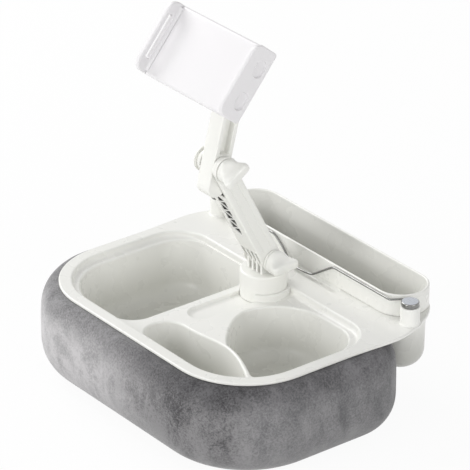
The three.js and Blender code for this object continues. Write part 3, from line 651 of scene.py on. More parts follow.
def facing_front(points):
    """Stands a slab or a lathe along -Y: its plane becomes X and Z."""
    return np.stack([points[:, 0], -points[:, 2], points[:, 1]], 1)


def half_turned(points):
    """Turned by 180 degrees about Z."""
    return points * [-1, -1, 1]


def plate(*shape, **details):
    """A slab stood along X."""
    return slab(*shape, **details).moved(across)


def lean_of(low, high):
    """The lean of a link from one pivot to the next."""
    return math.atan2(low[1] - high[1], high[2] - low[2])


on_lower = functools.partial(on_link, base_pivot, lean_of(base_pivot, elbow_pivot))
on_elbow = functools.partial(on_link, elbow_pivot, lean_of(base_pivot, elbow_pivot))
on_upper = functools.partial(on_link, elbow_pivot, lean_of(elbow_pivot, ball_pivot))
on_clamp = functools.partial(on_link, ball_pivot, math.atan2(-clamp_aim[2], -clamp_aim[1]))


# Meshes

def solid(name, skin):
    """Puts a skin into a mesh, in metres, with doubled points merged and faces outward."""
    mesh = bpy.data.meshes.new(name)
    mesh.from_pydata((skin.points * 0.001).tolist(), [], skin.faces)
    work = bmesh.new()
    work.from_mesh(mesh)
    bmesh.ops.remove_doubles(work, verts=work.verts, dist=1e-6)
    bmesh.ops.dissolve_degenerate(work, edges=work.edges, dist=1e-7)
    bmesh.ops.recalc_face_normals(work, faces=work.faces)
    work.to_mesh(mesh)
    work.free()
    return in_scene(name, mesh)


def in_scene(name, data):
    """A new object of the scene, made of a mesh, a lamp or a camera."""
    item = bpy.data.objects.new(name, data)
    bpy.context.scene.collection.objects.link(item)
    return item


def points_of(item):
    """A mesh's points, in metres."""
    points = np.zeros(len(item.data.vertices) * 3)
    item.data.vertices.foreach_get("co", points)
    return points.reshape(-1, 3)


def put_points(item, points):
    """Gives a mesh's points new places, in metres."""
    item.data.vertices.foreach_set("co", points.reshape(-1))
    item.data.update()


def give(target, settings):
    """Sets several properties of one thing."""
    for name, value in settings.items():
        setattr(target, name, value)


def modify(item, kind, **settings):
    """Adds a modifier with its settings."""
    step = item.modifiers.new(kind.lower(), kind)
    give(step, settings)
    return step


def bake(item):
    """Takes the mesh that the item's modifiers give."""
    made = bpy.data.meshes.new_from_object(item.evaluated_get(bpy.context.evaluated_depsgraph_get()))
    item.modifiers.clear()
    item.data = made


def carve(item, skins, operation):
    """Joins skins to an item or cuts them from it, one after another."""
    for skin in skins:
        tool = solid("tool", skin)
        modify(item, "BOOLEAN", operation=operation, solver="EXACT", object=tool)
        bpy.context.view_layer.update()
        bake(item)
        bpy.data.objects.remove(tool)


def fused(name, skins, cuts=(), place=None):
    """One mesh from several skins that overlap, less the cuts. A piece that leans is joined upright, where
    its flat faces are square, and then put in its place."""
    item = solid(name, skins[0])
    carve(item, skins[1:], "UNION")
    carve(item, cuts, "DIFFERENCE")
    if place:
        put_points(item, place(points_of(item) * 1000) / 1000)
    return item


def dress(item, material, body, slot, *nodes, crease=38):
    """Gives a piece its finish, its body and the nodes it stands for."""
    item.data.materials.clear()
    item.data.materials.append(material)
    item.data.shade_smooth()
    item.data.set_sharp_from_angle(angle=math.radians(crease))
    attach(item, body)
    if nodes:
        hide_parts(*nodes)
    return item


# Finishes

def feed(node, inputs):
    """Fills a node's inputs: a number or a colour goes on the socket, another node's output is linked."""
    for name, value in inputs.items():
        if isinstance(value, bpy.types.NodeSocket):
            node.id_data.links.new(value, node.inputs[name])
        else:
            node.inputs[name].default_value = value


def add_node(tree, kind, inputs, **settings):
    """Adds a shader node with its settings and its inputs."""
    node = tree.nodes.new("ShaderNode" + kind)
    give(node, settings)
    feed(node, inputs)
    return node


class Finish:
    """A shader tree that reads Object coordinates."""

    def __init__(self, name):
        self.material = bpy.data.materials.new(name)
        self.material.use_nodes = True
        self.tree = self.material.node_tree
        self.shader = self.tree.nodes["Principled BSDF"]
        self.place = add_node(self.tree, "TexCoord", {}).outputs["Object"]

    def stretched(self, scale, turn):
        """Object coordinates scaled and turned."""
        inputs = {"Vector": self.place, "Scale": scale, "Rotation": turn}
        return add_node(self.tree, "Mapping", inputs).outputs["Vector"]

    def noise(self, scale, detail=3.0, rough=0.5, warp=0.0, place=None):
        """Cloudy noise from 0 to 1."""
        inputs = {"Vector": place or self.place, "Scale": scale, "Detail": detail, "Roughness": rough,
                  "Distortion": warp}
        return add_node(self.tree, "TexNoise", inputs).outputs["Fac"]

    def spread(self, value, low, high, new_low=0.0, new_high=1.0):
        """A value's range from low to high made new_low to new_high, and held there."""
        inputs = {"Value": value, "From Min": low, "From Max": high, "To Min": new_low, "To Max": new_high}
        return add_node(self.tree, "MapRange", inputs, interpolation_type="SMOOTHSTEP").outputs["Result"]

    def math(self, kind, first, second):
        """Two values put together."""
        return add_node(self.tree, "Math", {0: first, 1: second}, operation=kind).outputs["Value"]

    def plus(self, base, noise, share):
        """base + share * (noise - 0.5)."""
        return self.math("ADD", base, self.math("MULTIPLY", self.math("SUBTRACT", noise, 0.5), share))

    def mix(self, share, first, second):
        """Between two colours, each a tone or another node's colour."""
        return add_node(self.tree, "Mix", {"Factor": share, 6: first, 7: second}, data_type="RGBA").outputs[2]

    def along(self, axis):
        """How far a point lies along X, Y or Z, in metres."""
        return add_node(self.tree, "SeparateXYZ", {"Vector": self.place}).outputs[axis]

    def bump(self, height, strength, distance):
        """Fine relief, its distance in metres."""
        inputs = {"Height": height, "Strength": strength, "Distance": distance}
        feed(self.shader, {"Normal": add_node(self.tree, "Bump", inputs).outputs["Normal"]})


def tone(code):
    """A web colour as linear light."""
    parts = np.array([int(code[i:i + 2], 16) for i in (0, 2, 4)]) / 255
    linear = np.where(parts <= 0.04045, parts / 12.92, ((parts + 0.055) / 1.055) ** 2.4)
    return (*linear.tolist(), 1.0)


def moulded(name, light, dark, rough, relief=0.05, painted_depth_shade=None):
    """Moulded plastic: a slow flow tone, uneven gloss and a fine spark-worn grain. A painted shade
    turns the colour greyer from one height down to another, for the shade deep in pockets and under ledges."""
    finish = Finish(name)
    flow = finish.noise(9.0, 1.0, 0.4, 0.2)
    colour = finish.mix(finish.spread(flow, 0.2, 0.8), tone(light), tone(dark))
    # Painted shade: greyer towards the bottom, for the shade deep in pockets and under ledges
    if painted_depth_shade:
        deep, low, high = painted_depth_shade
        colour = finish.mix(finish.spread(finish.along("Z"), low, high), tone(deep), colour)
    gloss = finish.spread(finish.noise(38.0), 0.3, 0.7, rough - 0.015, rough + 0.015)
    feed(finish.shader, {"Base Color": colour, "Roughness": gloss})
    finish.bump(finish.noise(1400.0, 2.0), relief, 0.00012)
    return finish.material


def metal(name, light, dark, rough):
    """Plated or drawn metal: a faint drawn streak in tone and gloss."""
    finish = Finish(name)
    streak = finish.noise(90.0, place=finish.stretched((1.0, 6.0, 6.0), (0.0, 0.0, 0.0)))
    gloss = finish.spread(streak, 0.3, 0.7, rough - 0.04, rough + 0.06)
    colour = finish.mix(streak, tone(light), tone(dark))
    feed(finish.shader, {"Base Color": colour, "Roughness": gloss, "Metallic": 1.0})
    finish.bump(finish.noise(1800.0, 2.0), 0.03, 0.0001)
    return finish.material


def foam_finish():
    """Open foam: pale, matt, with small pores."""
    finish = Finish("foam")
    colour = finish.mix(finish.noise(30.0, 4.0), tone("D9D2BE"), tone("C8BFA6"))
    feed(finish.shader, {"Base Color": colour, "Roughness": 0.95})
    finish.bump(finish.noise(900.0, 3.0, 0.7), 0.5, 0.0006)
    return finish.material


def velvet_finish():
    """Brushed velvet: pile laid in patches and streaks, with a fine fibre grain and a pale sheen at grazing
    light. Painted light over it: paler on the left, where the lamps fall, darker towards the front corner and
    mid grey on the right flank; a painted sheen, paler towards the foot; and a painted shade under the rim."""
    finish = Finish("velvet")
    patch = finish.noise(17.0, 4.0, 0.6, 0.9)
    streak = finish.noise(48.0, 4.0, 0.62, 0.5, finish.stretched((1.0, 1.0, 0.42), (0.0, 0.25, 0.0)))
    fibre = finish.noise(520.0, 4.0, 0.75)
    brushed = finish.math("MULTIPLY", finish.math("ADD", patch, streak), 0.5)
    lay = finish.plus(brushed, fibre, 0.5)
    frosted = finish.plus(brushed, fibre, 0.7)
    # Painted light: paler on the lit left, darkest towards the front corner, mid grey on the right flank
    corner = finish.spread(finish.plus(finish.along("X"), patch, 0.16), -0.05, 0.1)
    flank = finish.spread(finish.along("X"), 0.14, 0.168)
    pale = finish.mix(finish.spread(lay, 0.3, 0.6), tone("969596"), tone("C5C3C4"))
    deep = finish.mix(finish.spread(frosted, 0.32, 0.66), tone("4C4B4D"), tone("8A898A"))
    even = finish.mix(finish.spread(frosted, 0.25, 0.75), tone("646466"), tone("999899"))
    nap_and_painted_light = finish.mix(flank, finish.mix(corner, pale, deep), even)
    # Painted sheen: paler towards the foot
    nap_and_painted_light = finish.mix(finish.spread(finish.along("Z"), 0.006, 0.04, 0.5, 0.0), nap_and_painted_light, tone("A3A2A3"))
    ruffled = finish.spread(frosted, 0.3, 0.68)
    # Painted shade under the rim: darker tones, again paler on the left
    brim_left = finish.mix(ruffled, tone("69686A"), tone("9C9B9C"))
    brim_corner = finish.mix(ruffled, tone("3A393B"), tone("6A696B"))
    brim_flank = finish.mix(ruffled, tone("545355"), tone("828183"))
    brim = finish.mix(flank, finish.mix(corner, brim_left, brim_corner), brim_flank)
    # Where the painted shade lies: a band from a little below the top, its lower edge streaked
    band = finish.spread(finish.plus(finish.along("Z"), streak, 0.05), 0.062, 0.09)
    feed(finish.shader, {"Base Color": finish.mix(band, nap_and_painted_light, brim), "Roughness": 0.9,
                         "Specular IOR Level": 0.15, "Sheen Weight": 0.6, "Sheen Roughness": 0.35,
                         "Sheen Tint": (0.88, 0.88, 0.88, 1)})
    finish.bump(fibre, 0.35, 0.0006)
    return finish.material


# Tray and bin: painted shade, greyer low in the wells and under the deck
tray_plastic = moulded("tray_plastic", "EFEFEB", "ECECE7", 0.28, 0.015, ("D6D6D0", 0.03, 0.085))
bin_plastic = moulded("bin_plastic", "EFEFEB", "ECECE7", 0.28, 0.015, ("C8C8C2", 0.045, 0.088))
arm_plastic = moulded("arm_plastic", "F2F2EE", "EFEFEA", 0.36, 0.03)
clamp_plastic = moulded("clamp_plastic", "EAE9EA", "E7E5E7", 0.4, 0.03)
# Dark sheet behind the lattice: painted shade
lining_plastic = moulded("lining_plastic", "2A2A29", "202020", 0.6)
# Painted reflection: a paler copy of the chrome for the caps' tops
cap_top = metal("cap_top", "C3C7CD", "AEB2B9", 0.3)
chrome = metal("chrome", "9A9A98", "727271", 0.14)
steel = metal("steel", "A6A8AA", "8B8D90", 0.32)
foam = foam_finish()
velvet = velvet_finish()


# Tray

def tray_loop():
    """The tray's plan: round front corners, straight sides, and long bends into the bin's half-round ends.
    The rolled edge is drawn in, less and less towards the back."""
    side = tray_length - rear_bend
    bend = bezier((tray_half, side), (tray_half, tray_length - rear_bend_side),
                  (bin_half_run + rear_bend_back, tray_length), (bin_half_run, tray_length), 40)
    loop = closed(arc((front_corner - tray_half, front_corner), front_corner, 180, 270, 40),
                  arc((tray_half - front_corner, front_corner), front_corner, 270, 360, 40),
                  bend, bend[::-1] * [-1, 1])
    back = np.clip((loop[:, 1] - rim_ease_start) / (rim_ease_stop - rim_ease_start), 0, 1)
    return offset(loop, -rim_drawn_in * (1 - eased(back)))


def recess_loop():
    """The sunk recess, a rim's width in from the tray's plan."""
    front = front_corner - rim_width
    return upright_box(tray_half - rim_width, rim_width, recess_back,
                   (front, front, recess_rear_corner, recess_rear_corner), 4)


def large_well_loop():
    """The large well: the recess set in by its ledge, with four corners of its own."""
    outer = tray_half - rim_width - well_ledge - well_rear_ledge
    return box_loop(-outer, rim_width + well_ledge, -divider_half, recess_back - well_rear_ledge,
                    large_well_corners, 4)


def crescent_loop():
    """The crescent along the front right: straight front, recess corner, horn, crest and round left end."""
    corner = arc(crescent_centre, crescent_radius, -90, crescent_tip_angle, 30)
    tip = corner[-1]
    return closed(corner, bezier(tip, tip + (4, 5), (121, 46), (113, 51)),
                  bezier((113, 51), (98, 58), (84, 65), (66, 66)),
                  bezier((66, 66), (50, 67), (36.5, 61), (14.5, 61)),
                  bezier((14.5, 61), (-2.5, 61), (-9.5, 53.75), (-9.5, 40.75)),
                  bezier((-9.5, 40.75), (-9.5, 28.75), (-1.5, 20.5), (12.5, 20.5)), step=4)


def bowl_loop():
    """The round bowl behind the crescent, with a cheek at its front right."""
    return closed(bezier((117, 54.5), (128, 47), (137, 58), (137, 80)), arc((102, 136), 35, 0, 90, 30),
                  arc((73, 121), 50, 90, 180, 30), bezier((23, 121), (27, 100), (56, 73.5), (65, 70)),
                  bezier((65, 70), (83, 69), (99, 62), (117, 54.5)), step=4)


def post_skin(side):
    """A post turned from a profile that flares where it meets the deck."""
    foot = quarter(8) * post_flare + [post_radius, -0.03]
    head = rounded_profile([(post_radius, post_height - 2, 0), (post_radius, post_height, 0.8),
                            (0, post_height, 0)])
    root = [(0, post_root), (post_radius + post_flare, post_root)]
    return lathe(np.concatenate([root, foot, head])).moved(on_tray_at(side * post_x, post_y))


def tray_skin():
    """The plate's rolled edge, the deck, the sunk recess with its wells, and the same again, set out by the
    wall, seen from below. The recess's foot and the wells' lips take a share of the room between the loops,
    so that no two bends meet."""
    skin = Skin()
    recess = recess_loop()
    groove = upright_box(groove_half, groove_front, swivel_y, (groove_corner, groove_corner, 1, 1), 4)
    scoop = pill(scoop_half, scoop_back - scoop_width, scoop_back)
    throat = pill(bin_half_run + throat_radius, bin_y - throat_radius, bin_y + throat_radius)
    wells = [(large_well_loop(), large_well_depth, well_floor_radius),
             (crescent_loop(), crescent_depth, crescent_floor_radius),
             (bowl_loop(), bowl_depth, well_floor_radius)]
    edge = edge_rings(tray_loop(), -plate_thickness, 0, plate_low_round, plate_high_round)
    skin.strip(edge)

    room = np.min([spacing(recess, well[0]) for well in wells], 0)
    bend = np.clip(foot_share * room - foot_gap, *recess_foot)
    recess_mouth, recess_bed = sink(skin, recess, 0, -recess_depth, recess_lip, recess_draft, bend, False,
                                    inner=inset)
    mouths = [sink(skin, groove, -recess_depth, -groove_depth, *groove_bends, reach=groove_reach)[0]]
    for index, (loop, depth, foot) in enumerate(wells):
        others = np.min([spacing(loop, other[0]) for k, other in enumerate(wells) if k != index], 0)
        lip = np.clip(np.minimum(lip_share * spacing(loop, recess), divider_share * others), *well_lip)
        mouths.append(sink(skin, loop, -recess_depth, -depth, lip, well_draft, foot)[0])
    skin.flat(-recess_depth, recess_bed, mouths)
    scoop_mouth = sink(skin, scoop, 0, -scoop_depth, *scoop_bends)[0]
    skin.flat(0, edge[-1][:, :2], [recess_mouth, scoop_mouth, throat])
    skin.strip([ring(throat, 0), ring(throat, -plate_thickness)])

    tub = -recess_depth - tub_wall
    tub_mouth, tub_bed = sink(skin, offset(recess, tub_wall), -plate_thickness, tub, *tub_bends, False, True)
    shells = [sink(skin, offset(groove, shell_wall), tub, -groove_depth - tub_wall, *groove_under_bends,
                   flip=True)[0]]
    for loop, depth, foot in wells:
        shell = offset(loop, shell_wall)
        shells.append(sink(skin, shell, tub, -depth - shell_wall, well_under_lip, well_draft, foot,
                           flip=True)[0])
    skin.flat(tub, tub_bed, shells, flip=True)
    scoop_under = sink(skin, offset(scoop, scoop_wall), -plate_thickness, -scoop_depth - shell_wall,
                       *scoop_under_bends, flip=True)[0]
    skin.flat(-plate_thickness, edge[0][:, :2], [tub_mouth, scoop_under, throat], flip=True)
    return skin


def make_tray():
    """The shell with its pedestal and posts joined on. The collar's socket and bore, the end of the groove
    and a step beside the large well are cut out of the pedestal."""
    at_swivel = on_tray_at(0, swivel_y)
    clear = math.degrees(math.acos(-divider_half / pedestal_radius))
    crown = closed(arc((0, 0), pedestal_radius, -clear, clear, 80))
    pedestal = slab(crown, -pedestal_depth, 0, pedestal_round)
    channel = slab(upright_box(groove_half, groove_end_front, swivel_y, 1), -groove_depth, cut_top, 0.1)
    beside_well = box_loop(step_left, step_front, step_right, swivel_y + step_past_swivel, 1)
    step = slab(beside_well, -recess_depth, cut_top, 0.05)
    socket = rod(collar_radius + collar_gap, collar_foot - collar_gap, cut_top)
    bore = rod(spigot_radius + collar_gap, bore_foot, bore_top)
    item = solid("tray_moulding", tray_skin().moved(on_tray))
    carve(item, [pedestal.moved(at_swivel), post_skin(-1), post_skin(1)], "UNION")
    carve(item, [channel.moved(on_tray), step.moved(on_tray), socket.moved(at_swivel), bore.moved(at_swivel)],
          "DIFFERENCE")
    dress(item, tray_plastic, "tray", "tray_white", "tray")


def make_bin():
    """A wall profile carried round the bin's half-round plan: tub, flange, skirt, rolled rim, sloped
    inside."""
    tub = throat_radius - bin_gap
    inner_floor = bin_wall - bin_depth
    half_rim = bin_wall / 2
    bend = quarter(10)
    floor_out = (bin_floor_radius + bin_wall) * bend * [-1, 1] + [tub - bin_draft, -bin_depth]
    flange = rounded_profile([(tub, -2, 0), (tub, bin_gap, 0.2), (bin_radius, bin_gap, 0.4),
                              (bin_radius, bin_rim - 3, 0)])
    rim = arc((bin_radius - half_rim, bin_rim - half_rim), half_rim, 0, 180, 13)
    fall = np.linspace(0, 1, 14)[1:]
    slope = np.stack([bin_radius - bin_wall - bin_slope * eased(fall), (bin_rim - half_rim) * (1 - fall)], 1)
    floor_in = bin_floor_radius * bend[:, ::-1] * [-1, 1] + [slope[-1, 0] - bin_draft, inner_floor]
    profile = np.concatenate([[(0, -bin_depth), (3, -bin_depth)], floor_out, [(tub - 0.2, -20)], flange, rim,
                              slope, floor_in, [(3, inner_floor), (0, inner_floor)]])
    ends, runs = 49, 28
    share = np.linspace(1, -1, runs + 2)[1:-1]
    turn = np.radians(np.concatenate([np.linspace(-90, 90, ends), np.full(runs, 90.0),
                                      np.linspace(90, 270, ends), np.full(runs, 270.0)]))
    run = bin_half_run * np.concatenate([np.ones(ends), share, -np.ones(ends), -share])
    radius, height = profile[:, :1], profile[:, 1:]
    rings = np.stack([run + radius * np.cos(turn), bin_y + radius * np.sin(turn), height + 0 * turn], -1)
    item = solid("bin_moulding", Skin().strip(rings).moved(on_tray))
    dress(item, bin_plastic, "tray", "tray_white", "rear_bin")


def make_caps():
    """Caps turned from a profile with a small foot chamfer, a soft shoulder and a low crown, each with a stem
    in its post. The top is painted paler than the side: a painted reflection of the bright light above."""
    profile = rounded_profile([(0, cap_low, 0), (cap_radius - cap_chamfer, cap_low, 0),
                               (cap_radius, cap_low + cap_chamfer, 0.2), (cap_radius, cap_high - 0.2, 1.3),
                               (cap_radius * 0.5, cap_high, 0), (0, cap_high, 0)])
    for name, side in (("left", -1), ("right", 1)):
        place = on_tray_at(side * post_x, post_y)
        stem = rod(cap_stem_radius, post_height - cap_stem_length, cap_low + 1)
        item = fused("cap_" + name, [lathe(profile).moved(place), stem.moved(place)])
        dress(item, chrome, "tray", "chrome", "post_cap_" + name)
        # The faces that look up take the paler copy: painted reflection
        item.data.materials.append(cap_top)
        facing = np.zeros(len(item.data.polygons) * 3)
        item.data.polygons.foreach_get("normal", facing)
        item.data.polygons.foreach_set("material_index", (facing[2::3] > 0.95).astype(np.int32))


def eased_ramp(value, start, stop, bend):
    """0 before start, 1 after stop, straight between, with corners rounded over the bend's length."""
    def hinge(x):
        return bend * np.logaddexp(0, x / bend)
    return (hinge(value - start) - hinge(value - stop)) / (stop - start)


def make_wire():
    """A wire over X: it runs from cap to cap, steps forward to the bin's front and dips in the middle. Y and
    Z are straight ramps of |x| with rounded corners."""
    x = np.linspace(-wire_end, wire_end, 6001)
    y = wire_run_y + (post_y - wire_run_y) * eased_ramp(np.abs(x), *wire_step_ramp)
    y -= wire_pull * (1 - eased_ramp(np.abs(x), *wire_pull_ramp))
    z = wire_dip + (wire_level - wire_dip) * eased_ramp(np.abs(x), *wire_dip_ramp)
    path = np.stack([x, y, z], 1)
    along = np.concatenate([[0], np.cumsum(np.linalg.norm(np.diff(path, axis=0), axis=1))])
    even = np.linspace(0, along[-1], 320)
    path = np.stack([np.interp(even, along, path[:, k]) for k in range(3)], 1)
    item = solid("bail_wire", tube(path, wire_radius).moved(on_tray))
    dress(item, chrome, "bail", "chrome", "wire_bail", crease=60)


# Cushion

def cushion_rings():
    """The cover from its mouth to the middle of its base: the lip under the tray, a shoulder whose offset is
    bulge - tuck * share^power, a quarter circle at the foot, then the base drawn in to a point."""
    plan = upright_box(tray_half, 0, cushion_back,
                   (front_corner, front_corner, cushion_rear_corner, cushion_rear_corner), 4.6)
    base = cushion_top - cushion_height
    share = np.linspace(1, 0, 16)
    shoulder = np.stack([cushion_bulge - cushion_tuck * share ** cushion_tuck_power,
                         base + cushion_foot + (cushion_height - cushion_foot) * share], 1)
    lip = np.linspace([-cover_lip, cushion_top], shoulder[0], 3)[:-1]
    turn = np.linspace(np.pi / 2, 0, 11)[1:]
    foot = np.stack([cushion_bulge - cushion_foot * (1 - np.sin(turn)),
                     base + cushion_foot * (1 - np.cos(turn))], 1)
    rows = [ring(offset(plan, d), z) for d, z in np.concatenate([lip, shoulder, foot])]
    last = offset(plan, foot[-1, 0])
    middle = (last.min(0) + last.max(0)) / 2
    rows += [ring(middle + (last - middle) * k, base) for k in np.linspace(0.94, 0, 16)]
    return np.array(rows)


def swell(item):
    """Lets the cover swell under a little air pressure, held at its mouth and its base. A shift of any size
    stays under the limit: limit * tanh(size / limit)."""
    start = points_of(item)
    base = start[:, 2].min()
    held = item.vertex_groups.new(name="held")
    fixed = (start[:, 2] > start[:, 2].max() - mouth_held) | (start[:, 2] < base + base_held)
    held.add(np.flatnonzero(fixed).tolist(), 1.0, "REPLACE")
    cloth = modify(item, "CLOTH").settings
    give(cloth, {"quality": 6, "mass": 0.4, "tension_stiffness": 25, "compression_stiffness": 25,
                 "bending_stiffness": 2.0, "use_pressure": True, "uniform_pressure_force": 4.0,
                 "vertex_group_mass": "held"})
    cloth.effector_weights.gravity = 0.0
    scene = bpy.context.scene
    for number in range(1, swell_frames + 1):
        scene.frame_set(number)
    bake(item)
    scene.frame_set(1)
    shift = points_of(item) - start
    size = np.linalg.norm(shift, axis=1)[:, None]
    shift *= swell_limit * np.tanh(size / swell_limit) / np.maximum(size, 1e-9)
    place = start + shift
    place[:, 2] = np.maximum(place[:, 2], base)
    put_points(item, place)
    item.vertex_groups.clear()


def make_cushion():
    """The swelled cover with its thickness, smoothed."""
    item = solid("lap_cushion", Skin().strip(cushion_rings(), flip=True).moved(on_tray))
    swell(item)
    modify(item, "SOLIDIFY", thickness=cover_thickness * 0.001, offset=-1.0)
    bake(item)
    modify(item, "SUBSURF", levels=1, render_levels=1)
    dress(item, velvet, "cushion", "velvet", "cushion_cover", crease=80)


def kept_inside(points):
    """Foam points beyond the cover's inner face are drawn in. How far a point lies outside the cushion's plan
    is |max(q, 0)| + min(max(qx, qy), 0) - r, with q = |p - middle| - half + r, and r the nearer corner's
    round."""
    flat = points[:, :2] * 1000 - tray_origin[:2] - [0, cushion_back / 2]
    height = points[:, 2] * 1000
    corner = np.where(flat[:, 1] < 0, front_corner, cushion_rear_corner)[:, None]
    q = np.abs(flat) - [tray_half, cushion_back / 2] + corner
    past = np.maximum(q, 0)
    size = np.linalg.norm(past, axis=1)[:, None]
    away = np.where(size > 0, past / np.maximum(size, 1e-9), q >= q.max(1)[:, None]) * np.sign(flat)
    outside = size[:, 0] + np.minimum(q.max(1), 0) - corner[:, 0]
    low = np.clip(1 - height / cushion_foot, 0, 1)
    limit = cushion_bulge - cushion_foot * (1 - np.sqrt(1 - low ** 2)) - cover_thickness - foam_gap
    inward = np.maximum(outside - limit, 0)[:, None] * away
    return np.column_stack([points[:, :2] - inward * 0.001, np.maximum(points[:, 2], foam_base)])


def make_foam():
    """The filling: the core's own solid with its corners softened by remeshing and relaxing."""
    item = in_scene("foam_filling", frame["nodes"]["cushion_core"].data.copy())
    work = bmesh.new()
    work.from_mesh(item.data)
    bmesh.ops.remove_doubles(work, verts=work.verts, dist=1e-6)
    work.to_mesh(item.data)
    work.free()
    modify(item, "REMESH", mode="VOXEL", voxel_size=foam_voxel)
    modify(item, "SMOOTH", factor=0.5, iterations=4)
    bake(item)
    put_points(item, kept_inside(points_of(item)))
    dress(item, foam, "cushion", "foam", "cushion_core", crease=80)


# Arm

def comb(outline, places):
    """Thin plates of one outline, side by side along X."""
    return [plate(outline, x - comb_plate / 2, x + comb_plate / 2, comb_round) for x in places]


def make_swivel():
    """A collar turned from a profile, with a spigot below and four comb plates standing on it."""
    place = on_tray_at(0, swivel_y)
    collar = rounded_profile([(0, collar_foot, 0), (collar_radius, collar_foot, 0.4),
                              (collar_radius, collar_top, 2.2), (0, collar_top, 0)])
    skins = [lathe(collar, 96), rod(spigot_radius, spigot_foot, bore_top)]
    skins += comb(tongue(arm_radius, pivot_height, comb_foot, arm_radius),
                  comb_pitch * np.array([-1.5, -0.5, 0.5, 1.5]))
    item = fused("swivel_collar", [skin.moved(place) for skin in skins])
    dress(item, arm_plastic, "swivel", "arm_white", "swivel_base")


def lattice_holes():
    """Triangles that point left and right in turn, a bar apart, down the front web."""
    pitch = lattice_length / lattice_cells
    holes = []
    for cell in range(lattice_cells):
        top = lattice_top - pitch * cell
        bottom = top - pitch * 2 + lattice_bar * lattice_slant
        side = 1 if cell % 2 else -1
        near, far = side * lattice_half + lattice_shift, -side * lattice_half + lattice_shift
        points = [(near, top), (near, bottom), (far, (top + bottom) / 2)]
        holes.append(closed(points if side < 0 else points[::-1], step=1.5))
    return holes


def make_lower_arm():
    """Two grooved side plates, a lattice web in front, a plain web behind, fork pads, a bridge and comb ribs,
    and a dark sheet behind the lattice: painted shade, for the dark hollow seen through it."""
    side = closed(arc((0, 0), arm_radius, 180, 360, 40), arc((0, lower_length), arm_radius, 0, 180, 40),
                  step=4)
    grooves = [(box_loop(y - side_groove_half, side_groove_start, y + side_groove_half, side_groove_stop,
                         side_groove_corner), *side_groove_bends) for y in (-side_groove_y, side_groove_y)]
    right, left = (plate(side, ear_inner, arm_half, arm_round, pockets=grooves, low_bevel=web_round)
                   for _ in range(2))
    pad = tongue(arm_radius, lower_length, web_stop - 1, arm_radius)
    pads = [plate(pad, *run, comb_round) for run in ((fork_inner, fork_outer), (-fork_outer, -fork_inner))]
    front = slab(upright_box(web_half, web_foot, web_stop, web_corner), arm_radius - lattice_web,
                 arm_radius - web_inset, web_round, holes=lattice_holes())
    rear = slab(upright_box(web_half, web_start, web_stop, web_corner), web_inset - arm_radius,
                web_thickness - arm_radius, web_round)
    deep = arm_radius - bridge_inset
    bridge = slab(upright_box(web_half, -deep, deep, web_corner), web_start, web_start + bridge_height,
                  web_round)
    rib = tongue(arm_radius, 0, web_start + 2, arm_radius - comb_round)
    webs = [front.moved(facing_front), rear.moved(facing_front)]
    skins = [right, left.moved(half_turned), *pads, *webs, bridge, *comb(rib, (-comb_pitch, 0, comb_pitch))]
    item = fused("lower_link", skins, place=on_lower)
    dress(item, arm_plastic, "lower_link", "arm_white", "lower_arm")
    # Painted shade: a dark sheet behind the lattice, where the hollow would be dark
    shade_sheet = slab(upright_box(shade_sheet_half, web_start + 2, web_stop - 1, web_corner), shade_sheet_back,
                  shade_sheet_front, web_round)
    item = solid("lattice_lining", shade_sheet.moved(facing_front).moved(on_lower))
    dress(item, lining_plastic, "lower_link", "arm_white")


def make_upper_arm():
    """A bar with a round tail and sunk side channels, a neck behind its top, and a ball socket with a
    nose."""
    side = tongue(upper_radius, upper_radius - upper_tail, neck_start, upper_radius)
    channel = [(upright_box(channel_half, channel_start, channel_stop, 1.5), *channel_bends)]
    bar = plate(side, -upper_half, upper_half, upper_round, pockets=channel, low_pockets=channel)
    neck = plate(box_loop(neck_front, neck_start - 3, upper_radius, neck_stop, 2.5), neck_inset - upper_half,
                 upper_half - neck_inset, 1.0)
    item = fused("upper_link", [bar.moved(on_upper), neck.moved(on_upper)])
    nose = rounded_profile([(socket_ball, 0, 0), (socket_ball, socket_nose, 0.6),
                            (socket_mouth, socket_nose, 0.4)])
    profile = np.concatenate([arc((0, 0), socket_ball, -90, socket_shoulder, 9), nose,
                              arc((0, 0), cup_radius, cup_edge, -90, 14)])
    carve(item, [lathe(profile).moved(facing_front).moved(on_clamp)], "UNION")
    dress(item, arm_plastic, "upper_link", "arm_white", "upper_arm")


def make_pivots():
    """Washers and caps turned from rounded profiles about each pivot."""
    for name, radius, place in (("base", base_disc, on_lower), ("elbow", elbow_disc, on_elbow)):
        washer = looped_profile([(washer_bore, washer_low, 0), (radius, washer_low, 0.5),
                                 (radius, washer_high, 0.6), (washer_bore, washer_high, 0)])
        item = solid(name + "_disc", lathe(washer).moved(across).moved(place))
        dress(item, arm_plastic, "lower_link", "arm_white", name + "_washer")
        hub = radius - nut_cap_brim
        cover = rounded_profile([(0, nut_cap_seat, 0), (hub, nut_cap_seat, 0), (hub, nut_cap_low, 0),
                                 (radius, nut_cap_low, 0.4), (radius, nut_cap_side, 1.6),
                                 (radius * 0.5, nut_cap_top, 0), (0, nut_cap_top, 0)])
        item = solid(name + "_cover", lathe(cover).moved(across).moved(half_turned).moved(place))
        dress(item, arm_plastic, "lower_link", "arm_white", name + "_nut_cap")


